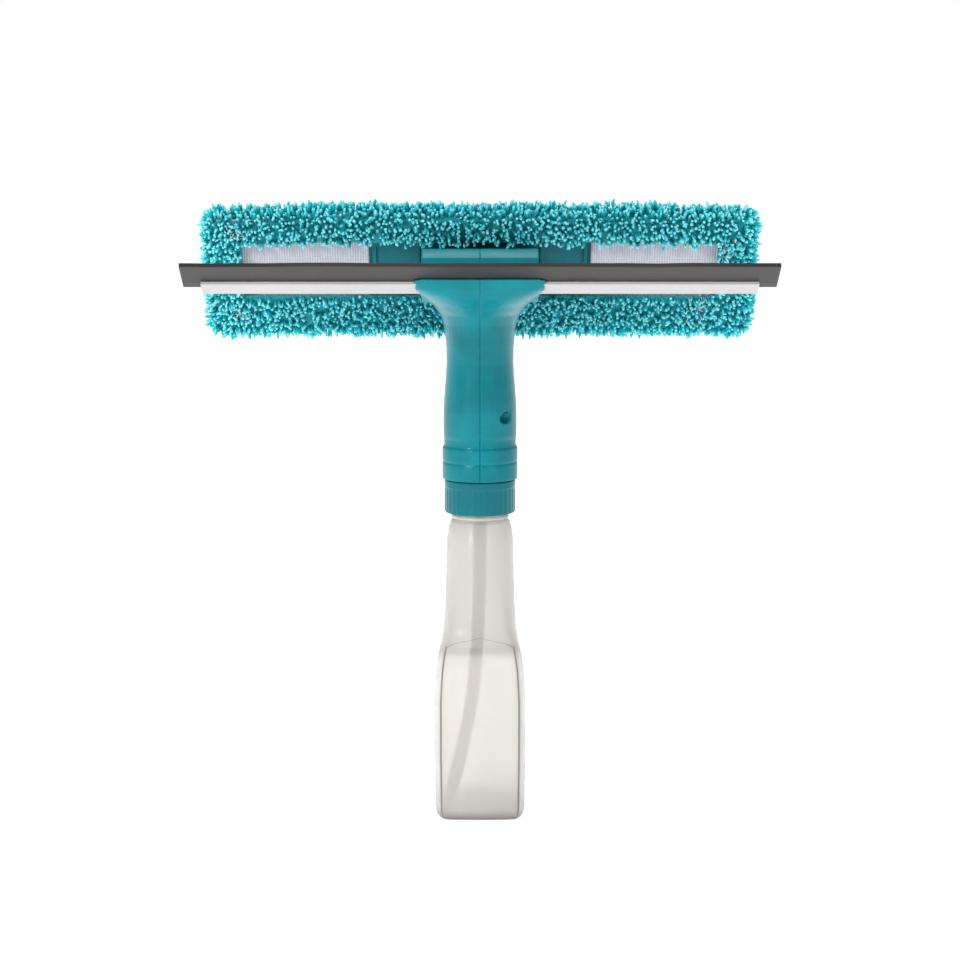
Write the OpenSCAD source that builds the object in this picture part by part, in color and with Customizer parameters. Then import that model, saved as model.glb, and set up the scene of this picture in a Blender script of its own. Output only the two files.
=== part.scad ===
// Spray window squeegee: a bottle as the handle, a trigger pump inside a two-shell neck,
// a rubber blade on the rear of the head and a microfibre pad on its front.
// Millimetres. The origin is the centre of the bottle's base. +Z runs up the bottle, +X along
// the blade, -Y to the blade's side (the rear) and +Y to the pad's side (the front).

/* [Bottle] */
// Width of the lower body, along X
bottle_w = 43; // [37:0.5:54]
// Depth of the lower body, along Y
bottle_d = 54; // [45:0.5:66]
// Height of the lower body
body_h = 80; // [64:1:100]
// Height of the grip, from the lower body to the neck
grip_h = 58; // [46:1:72]
// Width of the grip, along X
grip_w = 32; // [30:0.5:36]
// Depth of the grip, along Y
grip_d = 38; // [33:0.5:46]
// Thickness of the bottle's wall
bottle_wall = 1.3; // [1:0.1:1.7]

/* [Neck finish] */
// Outside radius of the bottle's neck, under the thread
finish_r = 12.5; // [11.5:0.1:13]
// Wall of the bottle's neck
finish_wall = 2; // [1.6:0.1:2.4]
// Height of the bottle's neck
finish_h = 18; // [16:0.5:22]
// Rise of the thread in one turn
thread_pitch = 4.2; // [3.6:0.1:5]
// Height of the thread above the neck
thread_depth = 1.1; // [0.8:0.1:1.2]
// Turns of thread
thread_turns = 1.5; // [1:0.25:1.75]

/* [Screw collar] */
// Outside radius of the collar's gripping skirt
collar_r = 16.6; // [16.2:0.1:17.2]
// Height of the skirt that shows under the neck shells
collar_h = 15.8; // [13:0.2:17]
// Count of the grip ribs round the skirt
collar_ribs = 36; // [18:2:48]

/* [Dip tube] */
// Outside radius of the dip tube
dip_r = 3; // [2.2:0.1:3.2]
// Wall of the dip tube
dip_wall = 0.7; // [0.5:0.1:0.9]
// Sideways reach of the tube's lower end, along X
dip_reach_x = 15; // [8:0.5:15]
// Height of the tube's lower end above the base
dip_end_z = 6; // [4:0.5:14]

/* [Neck shells] */
// Radius of the plain band at the foot of the shells
band_r = 17.5; // [17.5:0.1:19]
// Height of the plain band
band_h = 15; // [12:0.5:18]
// Half width of the neck above the band
neck_half_w = 17; // [16:0.1:19]
// Reach of the neck behind its axis
neck_rear = 20.5; // [19:0.5:24]
// Reach of the neck in front of its axis
neck_front = 19.5; // [18.5:0.5:21]
// Half width of the waist below the flare
waist_half_w = 15.5; // [15:0.1:17]
// Half width of the flare's top edge
flare_half_w = 32.2; // [28:0.2:38]
// Half width of the head block
head_half_w = 26.3; // [24:0.1:30]
// Wall of the shells
shell_wall = 2.2; // [1.8:0.1:2.4]
// Half width of the nose round the nozzle
nose_half_w = 13; // [12.8:0.1:14]

/* [Squeegee] */
// Length of the rubber blade
blade_l = 265; // [220:1:320]
// Length of the blade's channel
channel_l = 248.5; // [200:0.5:300]
// Reach of the rubber out of the channel
blade_reach = 14.5; // [9:0.1:17.5]
// Thickness of the rubber
blade_t = 2; // [1.6:0.1:2.4]
// Depth of the channel
channel_d = 9.5; // [9.5:0.5:14]
// Height of the channel over its two jaws
channel_t = 9.9; // [8.5:0.1:10.4]
// Wall of the channel's lower jaw
jaw_t = 1.5; // [1.2:0.1:1.8]
// Slope of the blade above level
blade_tilt = 30; // [25:1:35]

/* [Pad] */
// Length of the plate
plate_l = 244; // [200:1:290]
// Height of the plate
plate_h = 52; // [50:0.5:62]
// Thickness of the plate
plate_t = 3.5; // [3:0.1:4]
// Length of the pad over its pile
pad_l = 264; // [218:1:310]
// Height of the pad over its pile
pad_h = 72.5; // [68:0.5:84]
// How far the pad hangs below the plate's middle
pad_drop = 4.75; // [2:0.25:5]
// Thickness of the pad over its pile
pad_t = 18; // [17:0.5:22]
// Length of the opening in the pad's back
opening_l = 223; // [180:1:270]
// Height of the opening in the pad's back
opening_h = 29; // [27:0.5:31]
// Length of each end pocket that shows in the opening
pocket_l = 60; // [40:1:78]
// Slope of the pad's face, back from upright
pad_tilt = 30; // [27:1:33]

/* [Pump] */
// Bore radius of the pump cylinder
bore_r = 6; // [5.6:0.1:6.2]
// Stroke of the piston
stroke = 7.1; // [6:0.1:7.4]
// Wire radius of the return spring
wire_r = 0.4; // [0.3:0.05:0.45]
// Turns of the return spring
spring_turns = 5; // [4:0.5:6]
// Radius of the trigger's pivot pin
pin_r = 1.5; // [1.2:0.1:1.6]
// Half width of the trigger
trigger_half_w = 10; // [9.9:0.1:10.2]
// Reach of the trigger below its pivot
trigger_l = 48; // [42:1:54]

/* [Nozzle] */
// Width of the square nozzle cap
cap_w = 17; // [15:0.5:18]
// Length of the nozzle cap
cap_l = 12.4; // [11:0.2:14]
// Outside radius of the outlet barrel
barrel_r = 4.5; // [4.2:0.1:4.8]
// Radius of the spray hole
orifice_r = 0.4; // [0.3:0.05:0.6]

/* [Fits] */
// Radial clearance of a turning or sliding fit
fit = 0.07; // [0.05:0.01:0.1]
// Gap between pieces that stay clear of each other
gap = 0.3; // [0.2:0.05:0.4]
// Gap between pieces that are laid together
seat = 0.05; // [0.02:0.01:0.08]

/* [Hidden] */
$fn = 48;
big = 400;
eps = 0.01;
loft_sides = 40;

// Heights up the object
grip_top_z = body_h + grip_h;
finish_top_z = grip_top_z + finish_h;
gasket_t = 1.1;
flange_t = 2;
gasket_z = finish_top_z + 0.1;
flange_z = gasket_z + gasket_t;
base_z = flange_z + flange_t;
shell_z = finish_top_z + 1;
band_top_z = shell_z + band_h;
pump_z = finish_top_z + 24;
pivot_z = finish_top_z + 42;
barrel_z = finish_top_z + 51;
root_z = finish_top_z + 93.6;
pad_z = finish_top_z + 100;

// Places from rear to front
riser_y = -5;
riser_r = 5.5;
cylinder_wall = 1.5;
cylinder_r = bore_r + cylinder_wall;
cylinder_back_y = 0.5;
bore_back_y = cylinder_back_y + 2;
cylinder_front_y = 21;
pivot_y = 24;
barrel_end_y = 38;
nose_front_y = 30.4;
root_y = -42;
pad_y = 18;

// Collar and pump base
collar_step_r = 14.9;
collar_thread_r = finish_r + thread_depth + 0.4;
collar_top_r = finish_r + 0.5;
drum_r = 10.6;
drum_groove_r = 9.4;
lip_t = 1.4;
lip_z = base_z + 0.2;
web_z = lip_z + lip_t + gap;
web_t = 2;
drum_top_z = web_z + web_t + 3;

// Piston, spring and trigger
piston_l = 6;
rod_r = 2.6;
piston_front_y = cylinder_front_y - 0.8;
piston_back_y = piston_front_y - piston_l;
contact_y = cylinder_front_y + stroke + 0.6;
seal_r = 0.9;
seal_y = piston_back_y + 1.8;
spring_r = 3.6;
spring_l = piston_back_y - bore_back_y - 0.1;
ear_in = 5;
ear_out = trigger_half_w - 2;
wall_in = ear_out + 0.2;
eye_r = 4.5;

// Ring of the nozzle seal
nozzle_seal_y = barrel_end_y - 2.4;
nozzle_seal_r = 0.6;
barrel_bore_r = 2;

// Squeegee section, in the channel's own directions
flange_top_t = 0.7;
bead_r = 1.6;
bead_in = 5.4;
strip_z = jaw_t + blade_t + seat;
strip_in = 0.3;
lip_up = jaw_t - 0.3;

// Pad section, measured backwards from the plate's middle
pocket_t = 1.2;
pocket_b = plate_t / 2 + seat;
hem_b = pocket_b + pocket_t + seat;
pad_back_b = 8;
plate_corner = 8;
frame_rib = 1.2;

// Screws
screw_r = 1.45;
screw_head_r = 2.5;
screw_head_t = 1.8;
counterbore_r = 2.85;
boss_r = 3.7;
seat_x = 6;
screw_l = 13;
// Shell screws: place along Y, then height above the shells' foot
SHELL_SCREWS = [[-14.5, 30], [8, 64], [-21, 96.5], [4, 95]];
plate_screw_x = 16;
PLATE_SCREWS_U = [-9, 0];

// ---- curves and skins ----

// A point on a cubic curve through four control points
function bezier(p, t) =
    pow(1 - t, 3) * p[0] + 3 * pow(1 - t, 2) * t * p[1]
    + 3 * (1 - t) * pow(t, 2) * p[2] + pow(t, 3) * p[3];
// Points along that curve, without its last point
function curve(p, n) = [for (i = [0 : n - 1]) bezier(p, i / n)];
// One step towards another point, at most r long
function toward(a, b, r) = a + (b - a) * min(r / norm(b - a), 0.49);
// An outline with each corner rounded off over a length r
function rounded(p, r, n = 5) = [
    for (i = [0 : len(p) - 1], k = [0 : n])
        let (
            c = p[i],
            a = toward(c, p[(i + len(p) - 1) % len(p)], r),
            b = toward(c, p[(i + 1) % len(p)], r),
            t = k / n
        )
        pow(1 - t, 2) * a + 2 * t * (1 - t) * c + t * t * b
];
// A rectangle's corners, centred on the origin
function box_2d(w, h) = [[-w, -h] / 2, [w, -h] / 2, [w, h] / 2, [-w, h] / 2];
// One value between table rows, on a smooth curve through them
function smooth_row(rows, i, t) =
    let (
        a = rows[max(i - 1, 0)],
        b = rows[i],
        c = rows[i + 1],
        d = rows[min(i + 2, len(rows) - 1)]
    )
    0.5 * (2 * b + (c - a) * t + (2 * a - 5 * b + 4 * c - d) * t * t
    + (3 * b - a - 3 * c + d) * t * t * t);
// All rows with n steps between neighbours
function dense_rows(rows, n) = concat(
    [for (i = [0 : len(rows) - 2], k = [0 : n - 1]) smooth_row(rows, i, k / n)],
    [rows[len(rows) - 1]]
);
function power(v, e) = sign(v) * pow(abs(v), e);
// A level ring: r = [height, half width, rear reach, front reach, squareness]
function ring(r, inset = 0) = [
    for (k = [0 : loft_sides - 1])
        let (
            a = (k + 0.5) * 360 / loft_sides,
            reach = (sin(a) < 0 ? r[2] : r[3]) - inset
        )
        [(r[1] - inset) * power(cos(a), 2 / r[4]), reach * power(sin(a), 2 / r[4]), r[0]]
];
// A ring of a tube that runs along a route, level enough to need no twist
function tube_ring(c, dir, r, n) =
    let (
        side = [dir[2], 0, -dir[0]] / norm([dir[2], 0, -dir[0]]),
        other = cross(dir, side) / norm(dir)
    )
    [for (k = [0 : n - 1]) c + r * (cos(k * 360 / n) * side + sin(k * 360 / n) * other)];

// A closed skin over rings that all have the same count of points
module skin(rings) {
    n = len(rings[0]);
    m = len(rings);
    sides = [
        for (i = [0 : m - 2], j = [0 : n - 1])
            let (a = i * n + j, b = i * n + (j + 1) % n)
            each [[a, a + n, b + n], [a, b + n, b]]
    ];
    polyhedron(
        points = [for (r = rings) each r],
        faces = concat([[for (j = [0 : n - 1]) j]], sides,
            [[for (j = [n - 1 : -1 : 0]) (m - 1) * n + j]])
    );
}

// An outline in Y and Z, extruded along X about the middle
module along_x(l) {
    rotate([90, 0, 90]) linear_extrude(l, center = true) children();
}
// A cylinder along X, between two places
module x_cylinder(r, x0, x1) {
    translate([x0, 0, 0]) rotate([0, 90, 0]) cylinder(r = r, h = x1 - x0);
}
// A cylinder along Y, between two places
module y_cylinder(r, y0, y1) {
    translate([0, y0, 0]) rotate([-90, 0, 0]) cylinder(r = r, h = y1 - y0);
}
module z_cylinder(r, z0, z1) {
    translate([0, 0, z0]) cylinder(r = r, h = z1 - z0);
}
// The pad's directions: X along it, Y up its back, Z backwards
module in_pad() {
    translate([0, pad_y, pad_z]) rotate([90 + pad_tilt, 0, 0]) children();
}
// The channel's directions: X along it, Y into it, Z up across it
module in_channel() {
    translate([0, root_y, root_z]) rotate([-blade_tilt, 0, 0]) children();
}
// A helical rib with a trapezoid section, its root sunk a little into the wall
module thread_rib(root_r, crest_r, root_w, crest_w, z0, turns, phase) {
    steps = 20;
    n = round(turns * steps);
    sunk = root_r > crest_r ? 0.3 : -0.3;
    order = root_r > crest_r ? -1 : 1;
    skin([
        for (i = [0 : n])
            let (
                a = phase + i * 360 / steps,
                z = z0 + thread_pitch * i / steps,
                grow = min(1, 0.25 + min(i, n - i) / 3),
                crest = root_r + (crest_r - root_r) * grow,
                section = [[root_r + sunk, -root_w / 2], [root_r + sunk, root_w / 2],
                    [crest, crest_w / 2], [crest, -crest_w / 2]]
            )
            [for (k = [0 : 3])
                let (p = section[order > 0 ? k : 3 - k])
                [p[0] * cos(a), p[0] * sin(a), z + p[1]]]
    ]);
}

// ---- bottle ----

// Outside of the bottle, one row for each change of shape
BOTTLE_ROWS = [
    [0, bottle_w / 2 - 2.4, bottle_d / 2 - 2.4, bottle_d / 2 - 2.4, 4.4],
    [1.2, bottle_w / 2 - 0.8, bottle_d / 2 - 0.8, bottle_d / 2 - 0.8, 4.6],
    [4, bottle_w / 2, bottle_d / 2, bottle_d / 2, 4.8],
    [body_h * 0.5, bottle_w / 2, bottle_d / 2, bottle_d / 2, 4.8],
    [body_h - 8, bottle_w / 2 - 0.6, bottle_d / 2 - 0.6, bottle_d / 2 - 0.6, 4.6],
    [body_h, bottle_w / 2 - 2.2, bottle_d / 2 - 2.6, bottle_d / 2 - 3, 4],
    [body_h + 14, grip_w / 2 + 1.2, grip_d / 2 + 1.6, grip_d / 2 + 0.4, 3],
    [body_h + grip_h * 0.55, grip_w / 2, grip_d / 2, grip_d / 2, 2.5],
    [grip_top_z - 6, grip_w / 2 - 0.6, grip_d / 2 - 2.5, grip_d / 2 - 2.5, 2.2],
    [grip_top_z - 1, finish_r + 1.2, finish_r + 1.6, finish_r + 1.6, 2],
    [grip_top_z + 1, finish_r - 0.3, finish_r - 0.3, finish_r - 0.3, 2]
];

module bottle() {
    outer = dense_rows(BOTTLE_ROWS, 2);
    inner = [for (r = outer) if (r[0] > 4 && r[0] < grip_top_z - 2) r];
    first = [bottle_wall + 0.3, inner[0][1] - 2, inner[0][2] - 2, inner[0][3] - 2, 4.4];
    last = [grip_top_z - 0.2, finish_r + 0.2, finish_r + 0.2, finish_r + 0.2, 2];
    color([0.91, 0.9, 0.85, 0.6]) difference() {
        union() {
            skin([for (r = outer) ring(r)]);
            z_cylinder(finish_r, grip_top_z - 0.5, finish_top_z);
            // Transfer bead under the thread
            z_cylinder(finish_r + 1, grip_top_z + 0.6, grip_top_z + 2);
            thread_rib(finish_r, finish_r + thread_depth, 1.9, 0.9,
                finish_top_z - 3 - thread_pitch * thread_turns, thread_turns, 0);
        }
        skin([for (r = concat([first], inner, [last])) ring(r, bottle_wall)]);
        z_cylinder(finish_r - finish_wall, grip_top_z - 3, finish_top_z + 1);
    }
}

// The tube drops straight down, then bends across to a corner of the base
function dip_point(t) = bezier([
    [0, riser_y, finish_top_z - 5],
    [0, riser_y, body_h * 0.85],
    [-2, riser_y - 4, body_h * 0.65],
    [-dip_reach_x, riser_y - 7, dip_end_z]
], t);

module dip_tube() {
    n = 22;
    stations = [for (i = [0 : n]) dip_point(i / n)];
    heading = [for (i = [0 : n]) dip_point(i / n + 0.01) - dip_point(i / n - 0.01)];
    color([0.93, 0.93, 0.9, 0.7]) difference() {
        skin([for (i = [n : -1 : 0]) tube_ring(stations[i], -heading[i], dip_r, 12)]);
        skin([for (i = [n : -1 : 0])
            let (over = i == 0 ? -0.2 : i == n ? 0.2 : 0)
            tube_ring(stations[i] + over * heading[i] / norm(heading[i]), -heading[i],
                dip_r - dip_wall, 12)]);
    }
}

module neck_gasket() {
    color("whitesmoke") translate([0, 0, gasket_z]) difference() {
        cylinder(r = finish_r, h = gasket_t);
        translate([0, 0, -1]) cylinder(r = finish_r - finish_wall, h = gasket_t + 2);
    }
}

module screw_collar() {
    foot_z = shell_z - collar_h;
    skirt_top_z = shell_z - 0.4;
    rib_r = 0.35;
    color("darkcyan") difference() {
        union() {
            z_cylinder(collar_r - rib_r, foot_z, skirt_top_z);
            z_cylinder(collar_step_r, skirt_top_z - 1, lip_z + lip_t);
            z_cylinder(collar_r, skirt_top_z - 3.2, skirt_top_z);
            for (k = [0 : collar_ribs - 1])
                rotate([0, 0, k * 360 / collar_ribs])
                    translate([collar_r - rib_r - 0.08, 0, 0])
                        z_cylinder(rib_r, foot_z + 0.6, skirt_top_z - 3);
        }
        z_cylinder(collar_thread_r, foot_z - 1, finish_top_z - 1.4);
        z_cylinder(collar_top_r, foot_z, lip_z);
        z_cylinder(drum_r + gap, foot_z, lip_z + lip_t + 1);
    }
    // Inside thread, half a pitch away from the bottle's own
    color("darkcyan") thread_rib(collar_thread_r, finish_r + 0.35, 1.7, 0.8,
        finish_top_z - 3 - thread_pitch * (thread_turns - 0.5), thread_turns - 0.75, 0);
}

// ---- pump ----

module valve_tube() {
    socket_r = dip_r + 1.3;
    seat_z = finish_top_z + 17;
    top_z = seat_z + 6;
    tube_r = riser_r - 1.9 - seat;
    color("gainsboro") difference() {
        union() {
            z_cylinder(finish_r, flange_z, base_z);
            translate([0, riser_y, 0]) {
                z_cylinder(socket_r, finish_top_z - 14, flange_z + 0.5);
                z_cylinder(tube_r, flange_z, top_z);
            }
        }
        translate([0, riser_y, 0]) {
            z_cylinder(dip_r + seat, finish_top_z - 15, finish_top_z - 5 + seat);
            z_cylinder(1.3, finish_top_z - 6, top_z + 1);
            z_cylinder(2.45, seat_z + 1.2, top_z + 1);
            translate([0, 0, seat_z]) cylinder(r1 = 1.3, r2 = 2.45, h = 1.2 + eps);
        }
    }
}

module inlet_ball() {
    color("silver") translate([0, riser_y, finish_top_z + 17 + 2.52]) sphere(r = 2);
}

module outlet_valve() {
    bore = riser_r - 1.9;
    color("lightgrey") translate([0, riser_y, 0]) difference() {
        z_cylinder(bore - seat, barrel_z - 13, barrel_z - 6.5);
        z_cylinder(1.1, barrel_z - 14, barrel_z - 8);
        translate([-big / 2, -0.1, barrel_z - 9]) cube([big, 0.2, 4]);
    }
}

module pump_body() {
    bore = riser_r - 1.9;
    color("whitesmoke") difference() {
        union() {
            z_cylinder(drum_r, base_z, drum_top_z);
            translate([0, riser_y, 0]) z_cylinder(riser_r, drum_top_z - 1, barrel_z + 2.2);
            translate([0, 0, pump_z])
                y_cylinder(cylinder_r, cylinder_back_y - 1.3, cylinder_front_y);
            translate([0, 0, barrel_z])
                y_cylinder(barrel_r, riser_y - 2, barrel_end_y);
            // Strut under the cylinder, from the pump's base
            translate([-1.2, riser_y, drum_top_z - 1])
                cube([2.4, 17, pump_z - bore_r - drum_top_z]);
            // Bridge and ears that hold the trigger's pin
            translate([-ear_out + 0.4, pivot_y - 3.6, pivot_z + 3.2])
                cube([2 * ear_out - 0.8, 7.2, barrel_z - pivot_z - 4]);
            for (side = [-1, 1])
                translate([side * (ear_in + ear_out) / 2, pivot_y, pivot_z + 0.5])
                    along_x(ear_out - ear_in)
                        polygon(rounded(box_2d(8, 11), 2.5));
            // Snap ridge for the nozzle cap
            translate([0, 0, barrel_z])
                y_cylinder(barrel_r + 0.35, barrel_end_y - 4.8, barrel_end_y - 3.8);
        }
        difference() {
            z_cylinder(drum_r + 1, web_z - seat, web_z + web_t + seat);
            z_cylinder(drum_groove_r, web_z - 1, web_z + web_t + 1);
        }
        translate([0, riser_y, 0]) {
            z_cylinder(bore, base_z - 1, barrel_z - 6.5 + seat);
            z_cylinder(1.6, barrel_z - 8, barrel_z);
        }
        // Port from the riser into the cylinder, the cylinder's bore and the barrel's bore
        translate([0, 0, pump_z]) {
            y_cylinder(1, riser_y, bore_back_y + 1);
            y_cylinder(bore_r, bore_back_y, cylinder_front_y + 1);
        }
        translate([0, 0, barrel_z])
            y_cylinder(barrel_bore_r, riser_y - 2.6, barrel_end_y + 1);
        translate([0, pivot_y, pivot_z])
            x_cylinder(pin_r + fit, -big / 2, big / 2);
        // Groove of the nozzle seal
        translate([0, 0, barrel_z]) difference() {
            y_cylinder(barrel_r + 1, nozzle_seal_y - nozzle_seal_r - seat,
                nozzle_seal_y + nozzle_seal_r + seat);
            y_cylinder(barrel_r - nozzle_seal_r * 2 + 0.2, 0, big);
        }
    }
}

module piston() {
    r = bore_r - fit;
    color("whitesmoke") translate([0, 0, pump_z]) difference() {
        union() {
            y_cylinder(r, piston_back_y, piston_front_y);
            y_cylinder(rod_r, piston_front_y - 1, contact_y - 1.5);
            translate([0, contact_y - 0.1 - rod_r, 0]) sphere(r = rod_r);
        }
        // Groove of the cup seal
        difference() {
            y_cylinder(r + 1, seal_y - seal_r - seat, seal_y + seal_r + seat);
            y_cylinder(r - 2 * seal_r + 0.4, 0, big);
        }
    }
}

module piston_seal() {
    color("dimgray") translate([0, seal_y, pump_z]) rotate([-90, 0, 0])
        rotate_extrude() translate([bore_r - fit - seal_r, 0]) intersection() {
            circle(r = seal_r, $fn = 32);
            translate([-0.95 * seal_r + 0.45, -seal_r]) square([2 * seal_r, 2 * seal_r]);
        }
}

module return_spring() {
    steps = 14;
    n = round(spring_turns * steps);
    color("silver") translate([0, 0, pump_z]) skin([
        for (i = [0 : n])
            let (
                a = i * 360 / steps,
                y = bore_back_y + 0.1 + wire_r + (spring_l - 0.2 - 2 * wire_r) * i / n,
                out = [cos(a), 0, -sin(a)]
            )
            [for (k = [0 : 7])
                let (b = k * 45)
                [0, y, 0] + out * (spring_r + wire_r * cos(b)) + [0, wire_r * sin(b), 0]]
    ]);
}

// The trigger's side outline, and the same outline set in by w
function trigger_outline(w) = concat(
    curve([[pivot_y + 5.5 - w, pivot_z + (w > 0 ? 12 : 0)], [pivot_y + 8.5 - w, pivot_z - 8],
        [pivot_y + 9.4 - w, pivot_z - 18], [pivot_y + 10 - w, pivot_z - 26]], 8),
    curve([[pivot_y + 10 - w, pivot_z - 26], [pivot_y + 11 - w, pivot_z - 36],
        [pivot_y + 14 - w, pivot_z - trigger_l + 7],
        [pivot_y + 19.5 - w, pivot_z - trigger_l + w]], 8),
    curve([[pivot_y + 19.5 - w, pivot_z - trigger_l + w],
        [pivot_y + 18.5 - w, pivot_z - trigger_l - 1.6 + w],
        [pivot_y + 16 - w, pivot_z - trigger_l - 1.6 + w],
        [pivot_y + 14.5 - w - w, pivot_z - trigger_l + 2 + w]], 5),
    curve([[pivot_y + 14.5 - 3 * w, pivot_z - trigger_l + 2 + w],
        [pivot_y + 6 - 4 * w, pivot_z - 34], [pivot_y + 1 - 4 * w, pivot_z - 26],
        [pivot_y - 2 - 4 * w, pivot_z - 12]], 8),
    [[pivot_y - 2 - 4 * w, pivot_z - 12], [pivot_y - 4.3 - 4 * w, pivot_z],
        [pivot_y - 4.3 - 4 * w, pivot_z + (w > 0 ? 12 : 0)]]
);

module trigger() {
    color("darkcyan") difference() {
        union() {
            difference() {
                union() {
                    along_x(2 * trigger_half_w) polygon(trigger_outline(0));
                    translate([0, pivot_y, pivot_z])
                        x_cylinder(eye_r, -trigger_half_w, trigger_half_w);
                }
                along_x(2 * wall_in) polygon(trigger_outline(1.8));
                translate([0, pivot_y, pivot_z]) x_cylinder(eye_r + 2, -wall_in, wall_in);
            }
            // Pad that presses on the piston's rod
            translate([-3, contact_y, pump_z - 4]) cube([6, 3, 8]);
        }
        translate([0, pivot_y, pivot_z]) x_cylinder(pin_r + fit, -big / 2, big / 2);
    }
}

module trigger_pin() {
    color("silver") translate([0, pivot_y, pivot_z])
        x_cylinder(pin_r, -trigger_half_w - 0.3, trigger_half_w + 0.3);
}

// ---- nozzle ----

module swirl_insert() {
    color("lightgrey") translate([0, 0, barrel_z]) difference() {
        union() {
            y_cylinder(barrel_bore_r - seat, barrel_end_y - 8, barrel_end_y + 0.5);
            y_cylinder(barrel_r - 1, barrel_end_y + seat, barrel_end_y + 0.9);
        }
        // Slots that set the water turning
        for (k = [0 : 2])
            rotate([0, k * 120, 0])
                translate([1, barrel_end_y - 8.5, -0.4]) cube([3.4, 20, 0.8]);
    }
}

module nozzle_seal() {
    color("dimgray") translate([0, nozzle_seal_y, barrel_z]) rotate([-90, 0, 0])
        rotate_extrude() translate([barrel_r + 0.02 - nozzle_seal_r, 0]) intersection() {
            circle(r = nozzle_seal_r, $fn = 24);
            translate([-0.3, -1]) square([nozzle_seal_r + 0.3, 2]);
        }
}

module nozzle_cap() {
    cap_y = nose_front_y + gap;
    color("darkcyan") translate([0, 0, barrel_z]) difference() {
        translate([0, cap_y, 0]) rotate([-90, 0, 0])
            linear_extrude(cap_l) polygon(rounded(box_2d(cap_w, cap_w), 4));
        y_cylinder(barrel_r + fit, cap_y - 1, barrel_end_y + 1.2);
        y_cylinder(barrel_r + 0.35 + fit, barrel_end_y - 5, barrel_end_y - 3.6);
        y_cylinder(orifice_r, barrel_end_y, big);
        // Dished front round the spray hole
        translate([0, cap_y + cap_l - 1.6, 0]) rotate([-90, 0, 0])
            cylinder(r1 = 1.4, r2 = 4.6, h = 1.6 + eps);
    }
}

// ---- neck shells ----

// Outside of the neck and flare, one row for each change of shape
NECK_ROWS = [
    [shell_z, band_r - 0.6, band_r - 0.6, band_r - 0.6, 2],
    [band_top_z, neck_half_w - 0.3, band_r - 0.6, band_r - 0.6, 2],
    [band_top_z + 4, neck_half_w - 0.2, band_r - 0.4, band_r - 0.4, 2],
    [band_top_z + 6, neck_half_w - 0.05, neck_rear - 1.8, neck_front - 1, 2.1],
    [shell_z + 32, neck_half_w - 0.05, neck_rear, neck_front, 2.2],
    [shell_z + 43, (neck_half_w + waist_half_w) / 2, neck_rear, neck_front, 2.2],
    [shell_z + 54, waist_half_w, neck_rear - 0.5, neck_front, 2.2],
    [shell_z + 67, waist_half_w + 0.6, neck_rear + 2, neck_front - 0.5, 2.2],
    [shell_z + 77, waist_half_w + 3.2, neck_rear + 8, neck_front - 1.5, 2.3],
    [root_z - 7.5, flare_half_w - 6.5, -root_y - 3.6, neck_front - 4, 4],
    [root_z - 2.5, flare_half_w - 1.2, -root_y + 1, neck_front - 7, 8],
    [root_z + 3, flare_half_w, -root_y + 2.6, neck_front - 9, 14]
];

// Side outline of the head block, in Y and Z, from the plate round to the channel
function plate_back(u) = [
    pad_y - u * sin(pad_tilt) - (plate_t / 2 + seat) * cos(pad_tilt),
    pad_z + u * cos(pad_tilt) - (plate_t / 2 + seat) * sin(pad_tilt)
];
channel_top = channel_t + seat;
function channel_point(in_, up) = [
    root_y + in_ * cos(blade_tilt) + up * sin(blade_tilt),
    root_z - in_ * sin(blade_tilt) + up * cos(blade_tilt)
];
HEAD_OUTLINE = concat(
    [plate_back(-13.4), plate_back(4)],
    curve([[-8, finish_top_z + 106.6], [-20, finish_top_z + 109.4],
        [-33, finish_top_z + 109.8], channel_point(1.5, channel_top + 1)], 7),
    [channel_point(1.5, channel_top), channel_point(channel_d, -0.5),
        [-26, finish_top_z + 84.5], [13, finish_top_z + 84.5]]
);
// The same block hollowed, clear of the channel and of the plate
HEAD_HOLLOW = rounded([
    plate_back(-11.4) - [3, 0.5], plate_back(2) - [3, 0.9],
    [-14, finish_top_z + 105.4], channel_point(5, channel_top + 2.4),
    channel_point(channel_d + 2.6, channel_top + 2.4), channel_point(channel_d + 2.6, 3),
    [-16, finish_top_z + 84.9], [10, finish_top_z + 84.9], [11, finish_top_z + 86.6]
], 1.5, 3);

module screw_places() {
    for (p = SHELL_SCREWS) translate([0, p[0], shell_z + p[1]]) children();
}
module plate_screw_places() {
    for (x = [-plate_screw_x, plate_screw_x], u = PLATE_SCREWS_U)
        in_pad() translate([x, u, plate_t / 2]) children();
}

module shell_outside() {
    difference() {
        skin([for (r = dense_rows(NECK_ROWS, 2)) ring(r)]);
        // The flare stops under the channel, with a lip behind its lower jaw, and the rest of it
        // stops under the head block
        along_x(big) polygon([
            channel_point(-50, lip_up), channel_point(-seat, lip_up),
            channel_point(-seat, -seat), channel_point(channel_d, -seat),
            [50, channel_point(channel_d, -seat)[1]], [50, 2 * root_z], [-100, 2 * root_z]
        ]);
    }
    difference() {
        z_cylinder(band_r, shell_z, band_top_z);
        // Shallow groove round the band
        difference() {
            z_cylinder(band_r + 1, shell_z + 7.6, shell_z + 8.6);
            z_cylinder(band_r - 0.5, shell_z + 7, shell_z + 9);
        }
    }
    along_x(2 * head_half_w) polygon(HEAD_OUTLINE);
    // Nose round the outlet barrel
    translate([0, 10, barrel_z - 0.5]) rotate([-90, 0, 0])
        linear_extrude(nose_front_y - 10) polygon(rounded(box_2d(2 * nose_half_w, 20), 5));
}

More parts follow.
